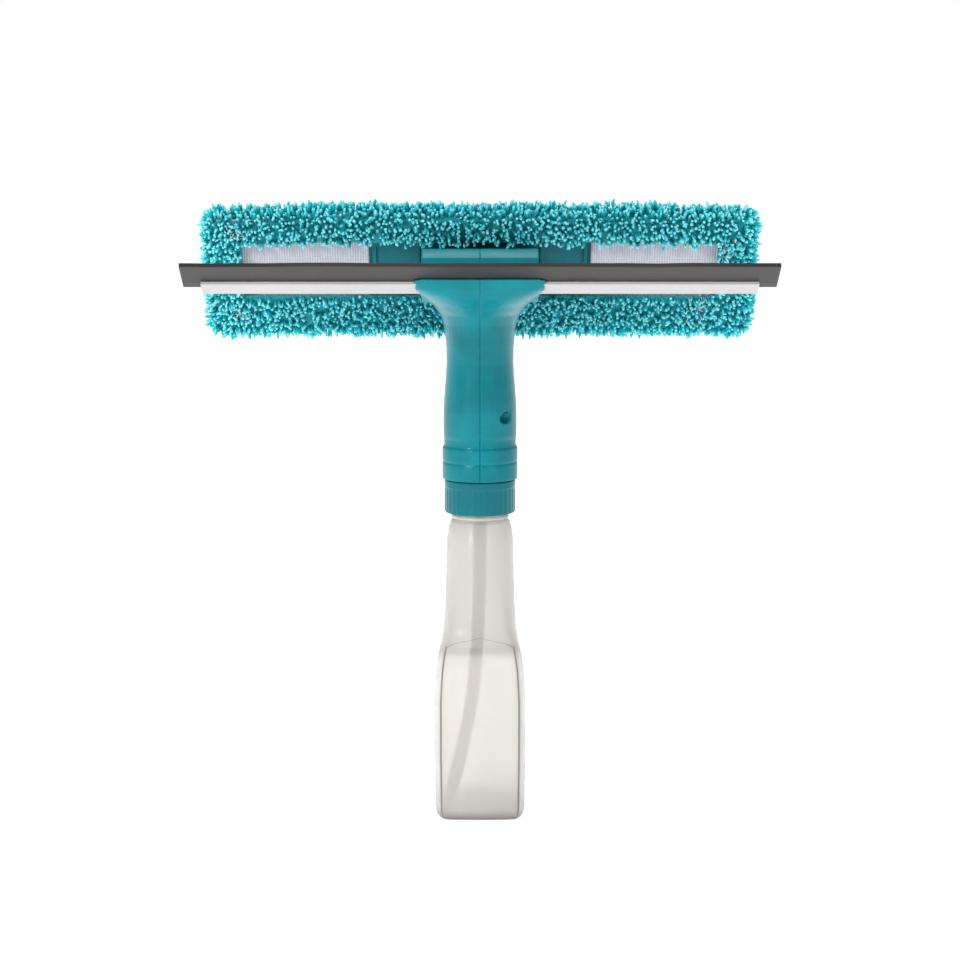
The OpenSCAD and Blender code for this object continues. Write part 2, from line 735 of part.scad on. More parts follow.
module shell_inside() {
    inner = [for (r = dense_rows(NECK_ROWS, 2))
        if (r[0] > band_top_z - 8 && r[0] < shell_z + 86) r];
    skin([for (r = inner) ring(r, shell_wall)]);
    // Round chamber in the band, over the web that grips the pump's base
    z_cylinder(band_r - shell_wall - 0.4, web_z + web_t, band_top_z - 2);
    z_cylinder(band_r - shell_wall - 1.9, web_z + web_t, band_top_z + 3);
    z_cylinder(collar_step_r + gap, shell_z - 1, web_z);
    z_cylinder(drum_groove_r + seat, web_z - 1, web_z + web_t + 1);
    along_x(2 * (head_half_w - 2.4)) polygon(HEAD_HOLLOW);
    // Nose, and the slot that the trigger swings in
    translate([0, 8, barrel_z - 0.5]) rotate([-90, 0, 0])
        linear_extrude(nose_front_y - 10)
            polygon(rounded(box_2d(2 * nose_half_w - 3.6, 16.4), 3.5));
    translate([-trigger_half_w - 0.7, 8, shell_z + 11])
        cube([2 * trigger_half_w + 1.4, 30, pivot_z - shell_z - 11 + 5.2]);
    translate([0, 0, barrel_z]) y_cylinder(barrel_r + gap, 0, big);
}

// One shell without its screw holes; the left one is its mirror image
module shell_half() {
    difference() {
        union() {
            difference() {
                shell_outside();
                shell_inside();
            }
            // Bosses for the shell screws and for the plate screws
            intersection() {
                shell_outside();
                union() {
                    screw_places() x_cylinder(boss_r, -big / 2, big / 2);
                    plate_screw_places() z_cylinder(boss_r, 0, 11);
                }
            }
        }
        in_channel() translate([-big / 2, -seat, -seat])
            cube([big, channel_d + 2 * seat, channel_t + 2 * seat]);
        in_channel() translate([-big / 2, -20, lip_up])
            cube([big, 20, channel_t + seat - lip_up]);
        in_pad() translate([-big / 2, -big / 2, -big + plate_t / 2 + seat])
            cube([big, big, big]);
        plate_screw_places() z_cylinder(screw_r + seat, -1, 8);
        translate([-big, -big / 2, 0]) cube([big, big, big]);
    }
}
module left_shell() {
    color([0.1, 0.56, 0.6]) difference() {
        mirror([1, 0, 0]) shell_half();
        screw_places() x_cylinder(screw_r + seat, -screw_l + seat_x, 1);
    }
}
module right_shell() {
    color([0.1, 0.56, 0.6]) difference() {
        shell_half();
        screw_places() {
            x_cylinder(screw_r + seat, -1, seat_x + 1);
            x_cylinder(counterbore_r, seat_x, big / 2);
        }
    }
}

module shell_screws() {
    color("silver") screw_places() {
        x_cylinder(screw_r, -screw_l + seat_x + 0.5, seat_x + 0.5);
        difference() {
            x_cylinder(screw_head_r, seat_x, seat_x + screw_head_t);
            for (turn = [0, 90])
                rotate([turn, 0, 0]) translate([seat_x + 0.8, -1.6, -0.35]) cube([5, 3.2, 0.7]);
        }
    }
}

// ---- pad ----

module pad_plate() {
    half_gap = plate_l / 2 - pocket_l - (plate_l - opening_l) / 2;
    panel_l = half_gap - head_half_w - 3;
    color([0.03, 0.33, 0.36]) difference() {
        union() {
            in_pad() translate([0, 0, -plate_t / 2])
                linear_extrude(plate_t) polygon(rounded(box_2d(plate_l, plate_h), plate_corner));
            // Raised frames beside the head block
            for (side = [-1, 1])
                in_pad() translate([side * (head_half_w + 1.5 + panel_l / 2), 0, 0])
                    linear_extrude(plate_t / 2 + frame_rib) difference() {
                        square([panel_l, opening_h - 3], center = true);
                        square([panel_l - 4, opening_h - 8], center = true);
                    }
        }
        plate_screw_places() {
            z_cylinder(screw_r + 0.2, -plate_t - 1, 1);
            z_cylinder(screw_head_r + 0.3, -plate_t - 1, -plate_t + screw_head_t + seat);
        }
    }
}

module plate_screws() {
    color("silver") plate_screw_places() {
        z_cylinder(screw_r, -plate_t + 0.5, 7.5);
        difference() {
            z_cylinder(screw_head_r, -plate_t, -plate_t + screw_head_t);
            for (turn = [0, 90])
                rotate([0, 0, turn]) translate([-1.6, -0.35, -plate_t - 1]) cube([3.2, 0.7, 1.9]);
        }
    }
}

module pad_cover() {
    r = pad_t / 2;
    color("darkturquoise") in_pad() difference() {
        hull() {
            for (x = [-1, 1], u = [-1, 1])
                translate([x * (pad_l / 2 - r), u * (pad_h / 2 - r) - pad_drop, pad_back_b - r])
                    sphere(r = r, $fn = 32);
        }
        // The plate and the pockets lie in this space
        translate([-plate_l / 2 - gap, -plate_h / 2 - gap, -plate_t / 2 - seat])
            cube([plate_l + 2 * gap, plate_h + 2 * gap, plate_t / 2 + seat + hem_b]);
        translate([-opening_l / 2, -opening_h / 2, 0]) cube([opening_l, opening_h, 20]);
    }
}

module pocket(side) {
    inner_x = opening_l / 2 - pocket_l;
    l = plate_l / 2 - inner_x;
    color("white") in_pad() translate([side * (inner_x + l / 2), 0, pocket_b])
        linear_extrude(pocket_t) polygon(rounded(box_2d(l, plate_h - 1), 4));
}
module left_pocket() {
    pocket(-1);
}
module right_pocket() {
    pocket(1);
}

// ---- squeegee ----

module blade_channel() {
    color("ghostwhite") in_channel() along_x(channel_l) difference() {
        square([channel_d, channel_t]);
        translate([-1, jaw_t])
            square([channel_d - 0.5, channel_t - jaw_t - flange_top_t]);
    }
}

module clamp_strip() {
    color([0.25, 0.25, 0.25]) in_channel() along_x(channel_l) difference() {
        translate([strip_in, strip_z])
            square([channel_d - strip_in - 1.6, channel_t - flange_top_t - strip_z - seat]);
        translate([bead_in, jaw_t + bead_r]) circle(r = bead_r + seat);
    }
}

module rubber_blade() {
    color([0.22, 0.22, 0.21]) in_channel() along_x(blade_l) union() {
        translate([-blade_reach, jaw_t + seat / 2])
            square([blade_reach + bead_in, blade_t - seat / 2]);
        translate([bead_in, jaw_t + bead_r]) circle(r = bead_r - seat / 2);
    }
}

bottle();
dip_tube();
neck_gasket();
screw_collar();
valve_tube();
inlet_ball();
pump_body();
outlet_valve();
piston();
piston_seal();
return_spring();
trigger();
trigger_pin();
swirl_insert();
nozzle_seal();
nozzle_cap();
left_shell();
right_shell();
shell_screws();
pad_plate();
plate_screws();
pad_cover();
left_pocket();
right_pocket();
blade_channel();
clamp_strip();
rubber_blade();
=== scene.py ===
"""The spray window squeegee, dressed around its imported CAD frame.

Every length is in metres. The frame's directions are +Z up the bottle, +X along the blade, -Y
towards the blade's side (the rear) and +Y towards the pad's side (the front).
"""

import logging
import math
import random
from dataclasses import dataclass, field
from enum import Enum
from typing import Sequence

import bmesh
import bpy
import numpy as np
from mathutils import Matrix, Vector, noise


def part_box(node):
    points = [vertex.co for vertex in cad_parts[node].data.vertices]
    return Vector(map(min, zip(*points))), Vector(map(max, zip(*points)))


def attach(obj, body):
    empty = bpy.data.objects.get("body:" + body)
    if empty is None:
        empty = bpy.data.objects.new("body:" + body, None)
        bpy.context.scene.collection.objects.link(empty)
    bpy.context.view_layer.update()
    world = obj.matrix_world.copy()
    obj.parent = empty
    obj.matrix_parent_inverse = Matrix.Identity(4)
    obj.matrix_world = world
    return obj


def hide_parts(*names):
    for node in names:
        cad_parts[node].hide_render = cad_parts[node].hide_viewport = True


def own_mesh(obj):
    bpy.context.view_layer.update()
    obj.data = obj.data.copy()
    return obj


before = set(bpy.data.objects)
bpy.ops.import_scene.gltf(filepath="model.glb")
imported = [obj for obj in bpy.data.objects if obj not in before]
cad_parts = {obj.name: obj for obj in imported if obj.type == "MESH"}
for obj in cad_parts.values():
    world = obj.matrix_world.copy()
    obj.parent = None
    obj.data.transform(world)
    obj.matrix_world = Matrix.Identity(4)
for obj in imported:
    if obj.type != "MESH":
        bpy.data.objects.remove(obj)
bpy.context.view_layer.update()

LOG = logging.getLogger("squeegee")
MM = 0.001
SEED = 41

Colour = tuple[float, float, float]
Ring = list[Vector]


class Body(Enum):
    """The moving bodies of the frame."""

    BOTTLE = "bottle"
    HEAD = "head"
    COLLAR = "collar"
    TRIGGER = "trigger"
    PISTON = "piston"
    NOZZLE = "nozzle"


# ---- small helpers ----


def mesh_object(name: str, bm: bmesh.types.BMesh, smooth: bool = True) -> bpy.types.Object:
    """Turns a bmesh into a scene object at the origin.

    Args:
        name: The new object's name.
        bm: The mesh, which is freed.
        smooth: Whether its faces are shaded smooth.

    Returns:
        The linked object.
    """
    mesh = bpy.data.meshes.new(name)
    bm.normal_update()
    bm.to_mesh(mesh)
    bm.free()
    obj = bpy.data.objects.new(name, mesh)
    bpy.context.scene.collection.objects.link(obj)
    if smooth:
        mesh.shade_smooth()
    return obj


def dress(obj: bpy.types.Object, material: bpy.types.Material) -> None:
    """Gives a piece one material.

    Args:
        obj: The piece.
        material: Its finish.
    """
    obj.data.materials.clear()
    obj.data.materials.append(material)


def place(obj: bpy.types.Object, body: Body, *nodes: str) -> None:
    """Sets a piece on its body, reports it, and hides the CAD nodes that it stands for.

    Args:
        obj: The piece.
        body: The body that it moves with.
        nodes: The CAD nodes that it stands for, if any.
    """
    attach(obj, body.value)
    if nodes:
        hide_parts(*nodes)
    LOG.info("%s rides on %s and stands for %s", obj.name, body.value, ", ".join(nodes) or "itself")


def apply_modifiers(obj: bpy.types.Object) -> None:
    """Writes a piece's modifiers into its mesh.

    Args:
        obj: The piece.
    """
    graph = bpy.context.evaluated_depsgraph_get()
    graph.update()
    mesh = bpy.data.meshes.new_from_object(obj.evaluated_get(graph))
    old = obj.data
    obj.modifiers.clear()
    obj.data = mesh
    bpy.data.meshes.remove(old)


def thicken(obj: bpy.types.Object, thickness: float) -> None:
    """Gives a skin a wall on its inner side.

    Args:
        obj: The skin.
        thickness: The wall's thickness.
    """
    wall = obj.modifiers.new("wall", "SOLIDIFY")
    wall.thickness = thickness
    wall.offset = -1
    apply_modifiers(obj)


def shade_by_angle(obj: bpy.types.Object, degrees: float) -> None:
    """Keeps sharp edges crisp, and shades the rest smooth.

    Args:
        obj: The piece.
        degrees: The angle from which an edge counts as sharp.
    """
    obj.data.shade_smooth()
    sharp = math.radians(degrees)
    bm = bmesh.new()
    bm.from_mesh(obj.data)
    for edge in bm.edges:
        edge.smooth = len(edge.link_faces) != 2 or edge.calc_face_angle(0.0) < sharp
    bm.to_mesh(obj.data)
    bm.free()


def copy_of_node(node: str, name: str) -> bpy.types.Object:
    """Copies a CAD node's mesh and merges its loose triangles.

    Args:
        node: The CAD node.
        name: The copy's name.

    Returns:
        The new object.
    """
    bm = bmesh.new()
    bm.from_mesh(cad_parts[node].data)
    bmesh.ops.remove_doubles(bm, verts=bm.verts, dist=1e-6)
    return mesh_object(name, bm)


def moulded_copy(node: str, name: str, voxel: float, smoothing: int) -> bpy.types.Object:
    """Makes a moulding with soft edges from a CAD node's exact shape.

    Args:
        node: The CAD node.
        name: The piece's name.
        voxel: Grid size of the rebuilt surface.
        smoothing: Rounds of smoothing, which set how soft the edges are.

    Returns:
        The finished object.
    """
    obj = copy_of_node(node, name)
    remesh = obj.modifiers.new("grid", "REMESH")
    remesh.mode = "VOXEL"
    remesh.voxel_size = voxel
    remesh.use_smooth_shade = True
    relax = obj.modifiers.new("relax", "SMOOTH")
    relax.factor = 0.5
    relax.iterations = smoothing
    apply_modifiers(obj)
    obj.data.shade_smooth()
    return obj


def superellipse(z: float, half_x: float, half_y: float, square: float, count: int) -> Ring:
    """A level ring.

    Args:
        z: Its height.
        half_x: Half its width.
        half_y: Half its depth.
        square: 2 for an ellipse, and more for a squarer shape.
        count: How many points it has.

    Returns:
        The points in order.
    """
    ring = []
    for k in range(count):
        a = (k + 0.5) * math.tau / count
        c, s = math.cos(a), math.sin(a)
        reach = (abs(c) ** square + abs(s) ** square) ** (-1 / square)
        ring.append(Vector((half_x * reach * c, half_y * reach * s, z)))
    return ring


def loft(bm: bmesh.types.BMesh, rings: Sequence[Ring]) -> list[list[bmesh.types.BMVert]]:
    """Bridges rings of the same count into an open skin.

    Args:
        bm: The mesh to add to.
        rings: The rings in order.

    Returns:
        The vertices of each ring.
    """
    loops = []
    for ring in rings:
        made = bmesh.ops.create_circle(bm, segments=len(ring), radius=1.0)["verts"]
        for vertex, point in zip(made, ring):
            vertex.co = point
        loops.append(made)
    for low, high in zip(loops, loops[1:]):
        edges = {
            e for v in low + high for e in v.link_edges
            if e.other_vert(v) in low or e.other_vert(v) in high
        }
        ends = [e for e in edges if (e.verts[0] in low) == (e.verts[1] in low)]
        bmesh.ops.bridge_loops(bm, edges=ends)
    return loops


# ---- finishes ----


class Shader:
    """A material under construction: one principled shader and the nodes that feed it."""

    def __init__(self, name: str) -> None:
        """Starts an empty material.

        Args:
            name: The material's name.
        """
        self.material = bpy.data.materials.new(name)
        self.material.use_nodes = True
        self.tree = self.material.node_tree
        self.tree.nodes.clear()
        self.out = self.tree.nodes.new("ShaderNodeOutputMaterial")
        self.surface = self.tree.nodes.new("ShaderNodeBsdfPrincipled")
        self.tree.links.new(self.surface.outputs[0], self.out.inputs["Surface"])
        self.object_coords = self.tree.nodes.new("ShaderNodeTexCoord").outputs["Object"]

    def set(self, **values: float | Colour) -> "Shader":
        """Sets sockets of the principled shader, named with _ for a space."""
        for name, value in values.items():
            socket = self.surface.inputs[name.replace("_", " ")]
            socket.default_value = (*value, 1.0) if isinstance(value, tuple) and len(value) == 3 else value
        return self

    def add(self, kind: str, **settings: object) -> bpy.types.Node:
        """Adds a node and sets its properties.

        Args:
            kind: The node's type.
            settings: Its properties, by name.

        Returns:
            The node.
        """
        node = self.tree.nodes.new(kind)
        for name, value in settings.items():
            setattr(node, name, value)
        return node

    def feed(self, source: bpy.types.NodeSocket, target: bpy.types.NodeSocket) -> None:
        """Links one socket to another."""
        self.tree.links.new(source, target)

    def noise(
        self, scale: float, detail: float = 3.0, stretch: Colour = (1.0, 1.0, 1.0)
    ) -> bpy.types.NodeSocket:
        """A noise pattern on Object coordinates.

        Args:
            scale: How fine it is, per metre.
            detail: How many finer layers it has.
            stretch: How much faster it runs along each axis.

        Returns:
            Its factor socket.
        """
        mapping = self.add("ShaderNodeMapping")
        mapping.inputs["Scale"].default_value = stretch
        self.feed(self.object_coords, mapping.inputs["Vector"])
        pattern = self.add("ShaderNodeTexNoise")
        pattern.inputs["Scale"].default_value = scale
        pattern.inputs["Detail"].default_value = detail
        self.feed(mapping.outputs[0], pattern.inputs["Vector"])
        return pattern.outputs[0]

    def attribute(self, name: str) -> bpy.types.NodeSocket:
        """A number that the piece's mesh holds for each point."""
        return self.add("ShaderNodeAttribute", attribute_name=name).outputs["Fac"]

    def maths(
        self, how: str, a: bpy.types.NodeSocket, b: bpy.types.NodeSocket | float
    ) -> bpy.types.NodeSocket:
        """Joins two numbers.

        Args:
            how: The operation.
            a: The first number's socket.
            b: The second number's socket, or a fixed number.

        Returns:
            The result's socket.
        """
        node = self.add("ShaderNodeMath", operation=how)
        self.feed(a, node.inputs[0])
        if isinstance(b, float):
            node.inputs[1].default_value = b
        else:
            self.feed(b, node.inputs[1])
        return node.outputs[0]

    def paint(self, factor: bpy.types.NodeSocket, stops: Sequence[tuple[float, Colour]]) -> None:
        """Colours the surface by a factor.

        Args:
            factor: What picks the colour.
            stops: Places from 0 to 1 and their colours.
        """
        node = self.add("ShaderNodeValToRGB")
        elements = node.color_ramp.elements
        while len(elements) < len(stops):
            elements.new(1.0)
        for element, (at, colour) in zip(elements, stops):
            element.position = at
            element.color = (*colour, 1.0)
        self.feed(factor, node.inputs[0])
        self.feed(node.outputs[0], self.surface.inputs["Base Color"])

    def span(self, factor: bpy.types.NodeSocket, low: float, high: float, name: str) -> None:
        """Spreads a factor between two values of a shader socket.

        Args:
            factor: The pattern.
            low: The value where the pattern is low.
            high: The value where it is high.
            name: The shader's socket.
        """
        node = self.add("ShaderNodeMapRange")
        node.inputs["From Min"].default_value = 0.3
        node.inputs["From Max"].default_value = 0.7
        node.inputs["To Min"].default_value = low
        node.inputs["To Max"].default_value = high
        self.feed(factor, node.inputs["Value"])
        self.feed(node.outputs[0], self.surface.inputs[name])

    def bump(self, *heights: tuple[bpy.types.NodeSocket, float]) -> None:
        """Adds relief.

        Args:
            heights: Pattern sockets with how deep each one is, in metres.
        """
        last = None
        for height, depth in heights:
            node = self.add("ShaderNodeBump")
            node.inputs["Distance"].default_value = depth
            self.feed(height, node.inputs["Height"])
            if last is not None:
                self.feed(last, node.inputs["Normal"])
            last = node.outputs[0]
        if last is not None:
            self.feed(last, self.surface.inputs["Normal"])


@dataclass(frozen=True)
class Moulded:
    """Injection-moulded plastic: cloudy colour, faint flow lines and a fine spark-eroded grain."""

    name: str
    deep: Colour
    light: Colour
    rough: tuple[float, float] = (0.3, 0.42)
    grain: float = 1800.0
    relief: float = 0.00004
    coat: float = 0.0
    gloss: float = 0.18

    def build(self) -> bpy.types.Material:
        """Makes the material.

        Returns:
            The finished material.
        """
        shader = Shader(self.name).set(
            Coat_Weight=self.coat, Coat_Roughness=0.12, IOR=1.49, Specular_IOR_Level=self.gloss
        )
        cloud = shader.noise(38.0, 4.0)
        flow = shader.noise(160.0, 2.0, (1.0, 1.0, 0.12))
        shader.paint(cloud, [(0.3, self.deep), (0.7, self.light)])
        shader.span(flow, self.rough[0], self.rough[1], "Roughness")
        shader.bump((shader.noise(self.grain, 2.0), self.relief))
        return shader.material


@dataclass(frozen=True)
class Frosted:
    """Translucent blow-moulded plastic: a cloudy tone, with painted shade in a dark line along the chamfer
    corners and in a band at the foot, and a fainter darker band at the shoulder.
    """

    name: str
    # thin, thick and dark run from the lightest tone to the darkest; the darkest is painted shade on the
    # corners and at the foot.
    thin: Colour
    thick: Colour
    dark: Colour
    through: float
    rough: tuple[float, float] = (0.28, 0.4)
    corner: float = 0.84

    def build(self) -> bpy.types.Material:
        """Makes the material.

        Returns:
            The finished material.
        """
        shader = Shader(self.name).set(Transmission_Weight=self.through, IOR=1.16, Specular_IOR_Level=0.6)
        cloud = shader.noise(24.0, 3.0, (1.0, 1.0, 0.4))
        # Painted shade: a dark line where "across" meets the chamfer corner, and darker bands from the
        # "thick" values, which are set at the foot and, fainter, at the shoulder.
        offset = shader.maths("SUBTRACT", shader.attribute("across"), self.corner)
        corner = shader.maths("ABSOLUTE", offset, 0.0)
        line = shader.add("ShaderNodeMapRange", interpolation_type="SMOOTHSTEP")
        for name, value in (("From Min", 0.006), ("From Max", 0.03), ("To Min", 1.0), ("To Max", 0.0)):
            line.inputs[name].default_value = value
        shader.feed(corner, line.inputs["Value"])
        painted_shade = shader.maths("MAXIMUM", line.outputs[0], shader.attribute("thick"))
        depth = shader.maths("ADD", shader.maths("MULTIPLY", cloud, 0.35), painted_shade)
        stops = [(0.1, self.thin), (0.4, self.thick), (1.0, self.dark)]
        shader.paint(depth, stops)
        shader.span(shader.noise(55.0, 3.0), self.rough[0], self.rough[1], "Roughness")
        shader.bump((shader.noise(420.0, 3.0), 0.00006), (shader.noise(30.0, 2.0), 0.0003))
        return shader.material


@dataclass(frozen=True)
class Extruded:
    """Extruded strip, with fine die lines along its length and a few handling scuffs."""

    name: str
    deep: Colour
    light: Colour
    rough: tuple[float, float]
    lines: float = 900.0
    relief: float = 0.00003
    gloss: float = 0.4

    def build(self) -> bpy.types.Material:
        """Makes the material.

        Returns:
            The finished material.
        """
        shader = Shader(self.name).set(Specular_IOR_Level=self.gloss)
        lines = shader.noise(self.lines, 2.0, (0.02, 1.0, 1.0))
        scuffs = shader.noise(45.0, 5.0, (0.35, 1.0, 1.0))
        shader.paint(scuffs, [(0.32, self.deep), (0.68, self.light)])
        shader.span(scuffs, self.rough[0], self.rough[1], "Roughness")
        shader.bump((lines, self.relief), (shader.noise(2200.0, 1.0), self.relief * 0.5))
        return shader.material


@dataclass(frozen=True)
class Chenille:
    """Microfibre noodles with painted shade at the root and a painted highlight at the tip, furry all
    over.
    """

    name: str
    # root is painted shade, tip a painted highlight, body the pile's own colour.
    root: Colour
    body: Colour
    tip: Colour

    def build(self) -> bpy.types.Material:
        """Makes the material.

        Returns:
            The finished material.
        """
        shader = Shader(self.name).set(
            Sheen_Weight=0.25, Sheen_Roughness=0.35, Sheen_Tint=(0.4, 0.95, 0.95), Roughness=0.6,
            Specular_IOR_Level=0.3,
        )
        tone = shader.maths("MULTIPLY", shader.attribute("tone"), 0.34)
        fuzz = shader.noise(2600.0, 2.0)
        speckle = shader.maths("MULTIPLY", fuzz, 0.16)
        # Painted shade towards each noodle's root and a painted highlight at its tip, with a random tone
        # for each noodle and a fine speckle from the fuzz noise.
        height = shader.maths("ADD", shader.maths("ADD", shader.attribute("along"), tone), speckle)
        shade = shader.maths("SUBTRACT", height, 0.25)
        stops = [(0.0, self.root), (0.4, self.body), (0.72, self.body), (0.98, self.tip)]
        shader.paint(shade, stops)
        shader.bump((fuzz, 0.00025))
        return shader.material


@dataclass(frozen=True)
class Knit:
    """Warp knit: ribs that run up the cloth, crossed by small stitches, with painted shade in their low
    parts.
    """

    name: str
    deep: Colour
    light: Colour
    ribs: float = 5200.0
    relief: float = 0.0002

    def build(self) -> bpy.types.Material:
        """Makes the material.

        Returns:
            The finished material.
        """
        shader = Shader(self.name).set(Sheen_Weight=0.25, Sheen_Roughness=0.5, Roughness=0.8)
        wales = shader.add("ShaderNodeTexWave", bands_direction="X")
        wales.inputs["Scale"].default_value = self.ribs / math.tau / 3.1
        wales.inputs["Distortion"].default_value = 0.6
        wales.inputs["Detail"].default_value = 1.0
        shader.feed(shader.object_coords, wales.inputs["Vector"])
        stitch = shader.noise(1500.0, 2.0, (0.6, 1.0, 1.6))
        # The colour follows the rib and stitch relief of the bump: the knit's own pattern, with painted
        # shade where the relief is low.
        rib_share = shader.maths("MULTIPLY", wales.outputs[1], 0.5)
        soft = shader.maths("ADD", rib_share, shader.maths("MULTIPLY", stitch, 0.5))
        shader.paint(soft, [(0.22, self.deep), (0.62, self.light)])
        shader.bump((wales.outputs[1], self.relief), (stitch, self.relief))
        return shader.material


@dataclass(frozen=True)
class Steel:
    """Bright steel wire, pins and screws, with drawn lines and a little tarnish."""

    name: str = "bright_steel"

    def build(self) -> bpy.types.Material:
        """Makes the material.

        Returns:
            The finished material.
        """
        shader = Shader(self.name).set(Metallic=1.0)
        tarnish = shader.noise(260.0, 4.0)
        shader.paint(tarnish, [(0.3, (0.42, 0.41, 0.39)), (0.65, (0.66, 0.66, 0.67))])
        shader.span(tarnish, 0.22, 0.4, "Roughness")
        shader.bump((shader.noise(1400.0, 2.0, (0.1, 1.0, 1.0)), 0.00003))
        return shader.material


@dataclass(frozen=True)
class Finishes:
    """Every finish of the object, built once."""

    teal: bpy.types.Material = field(default_factory=Moulded(
        "teal_moulding", (0.0, 0.14, 0.168), (0.0, 0.222, 0.262), (0.26, 0.36)).build)
    dark_teal: bpy.types.Material = field(default_factory=Moulded(
        "dark_teal_moulding", (0.0, 0.1, 0.125), (0.0, 0.135, 0.16), (0.34, 0.46)).build)
    collar: bpy.types.Material = field(default_factory=Moulded(
        "collar_moulding", (0.0, 0.12, 0.15), (0.0, 0.155, 0.19), (0.12, 0.18),
        coat=0.04, gloss=0.16).build)
    natural: bpy.types.Material = field(default_factory=Moulded(
        "natural_moulding", (0.7, 0.7, 0.67), (0.8, 0.8, 0.78), (0.35, 0.5)).build)
    # The bottle's dark colour is painted shade along the chamfer corners and at the foot.
    bottle: bpy.types.Material = field(default_factory=Frosted(
        "frosted_bottle", (0.93, 0.91, 0.87), (0.83, 0.81, 0.78), (0.36, 0.34, 0.33), 0.62,
        (0.15, 0.23)).build)
    tube: bpy.types.Material = field(default_factory=Frosted(
        "dip_tube_plastic", (0.5, 0.45, 0.38), (0.42, 0.37, 0.31), (0.3, 0.27, 0.22), 0.1).build)
    channel: bpy.types.Material = field(default_factory=Extruded(
        "white_extrusion", (0.43, 0.415, 0.42), (0.5, 0.485, 0.49), (0.3, 0.42)).build)
    strip: bpy.types.Material = field(default_factory=Extruded(
        "grey_extrusion", (0.045, 0.045, 0.046), (0.075, 0.075, 0.076), (0.35, 0.5)).build)
    rubber: bpy.types.Material = field(default_factory=Extruded(
        "blade_rubber", (0.022, 0.021, 0.02), (0.04, 0.038, 0.036), (0.36, 0.5), 500.0, 0.00005,
        gloss=0.25).build)
    seal: bpy.types.Material = field(default_factory=Moulded(
        "seal_rubber", (0.03, 0.03, 0.03), (0.05, 0.05, 0.05), (0.5, 0.7)).build)
    # The pile's root colour is painted shade and its tip colour a painted highlight.
    chenille: bpy.types.Material = field(default_factory=Chenille(
        "chenille_pile", (0.0, 0.3, 0.36), (0.0, 0.52, 0.6), (0.24, 0.86, 0.9)).build)
    backing: bpy.types.Material = field(default_factory=Knit(
        "chenille_backing", (0.0, 0.24, 0.28), (0.0, 0.34, 0.39)).build)
    knit: bpy.types.Material = field(default_factory=Knit(
        "white_warp_knit", (0.36, 0.37, 0.42), (0.48, 0.49, 0.55), relief=0.00016).build)
    lint: bpy.types.Material = field(default_factory=Knit(
        "white_seam_thread", (0.7, 0.74, 0.78), (0.9, 0.92, 0.94)).build)
    steel: bpy.types.Material = field(default_factory=Steel().build)


# ---- bottle ----


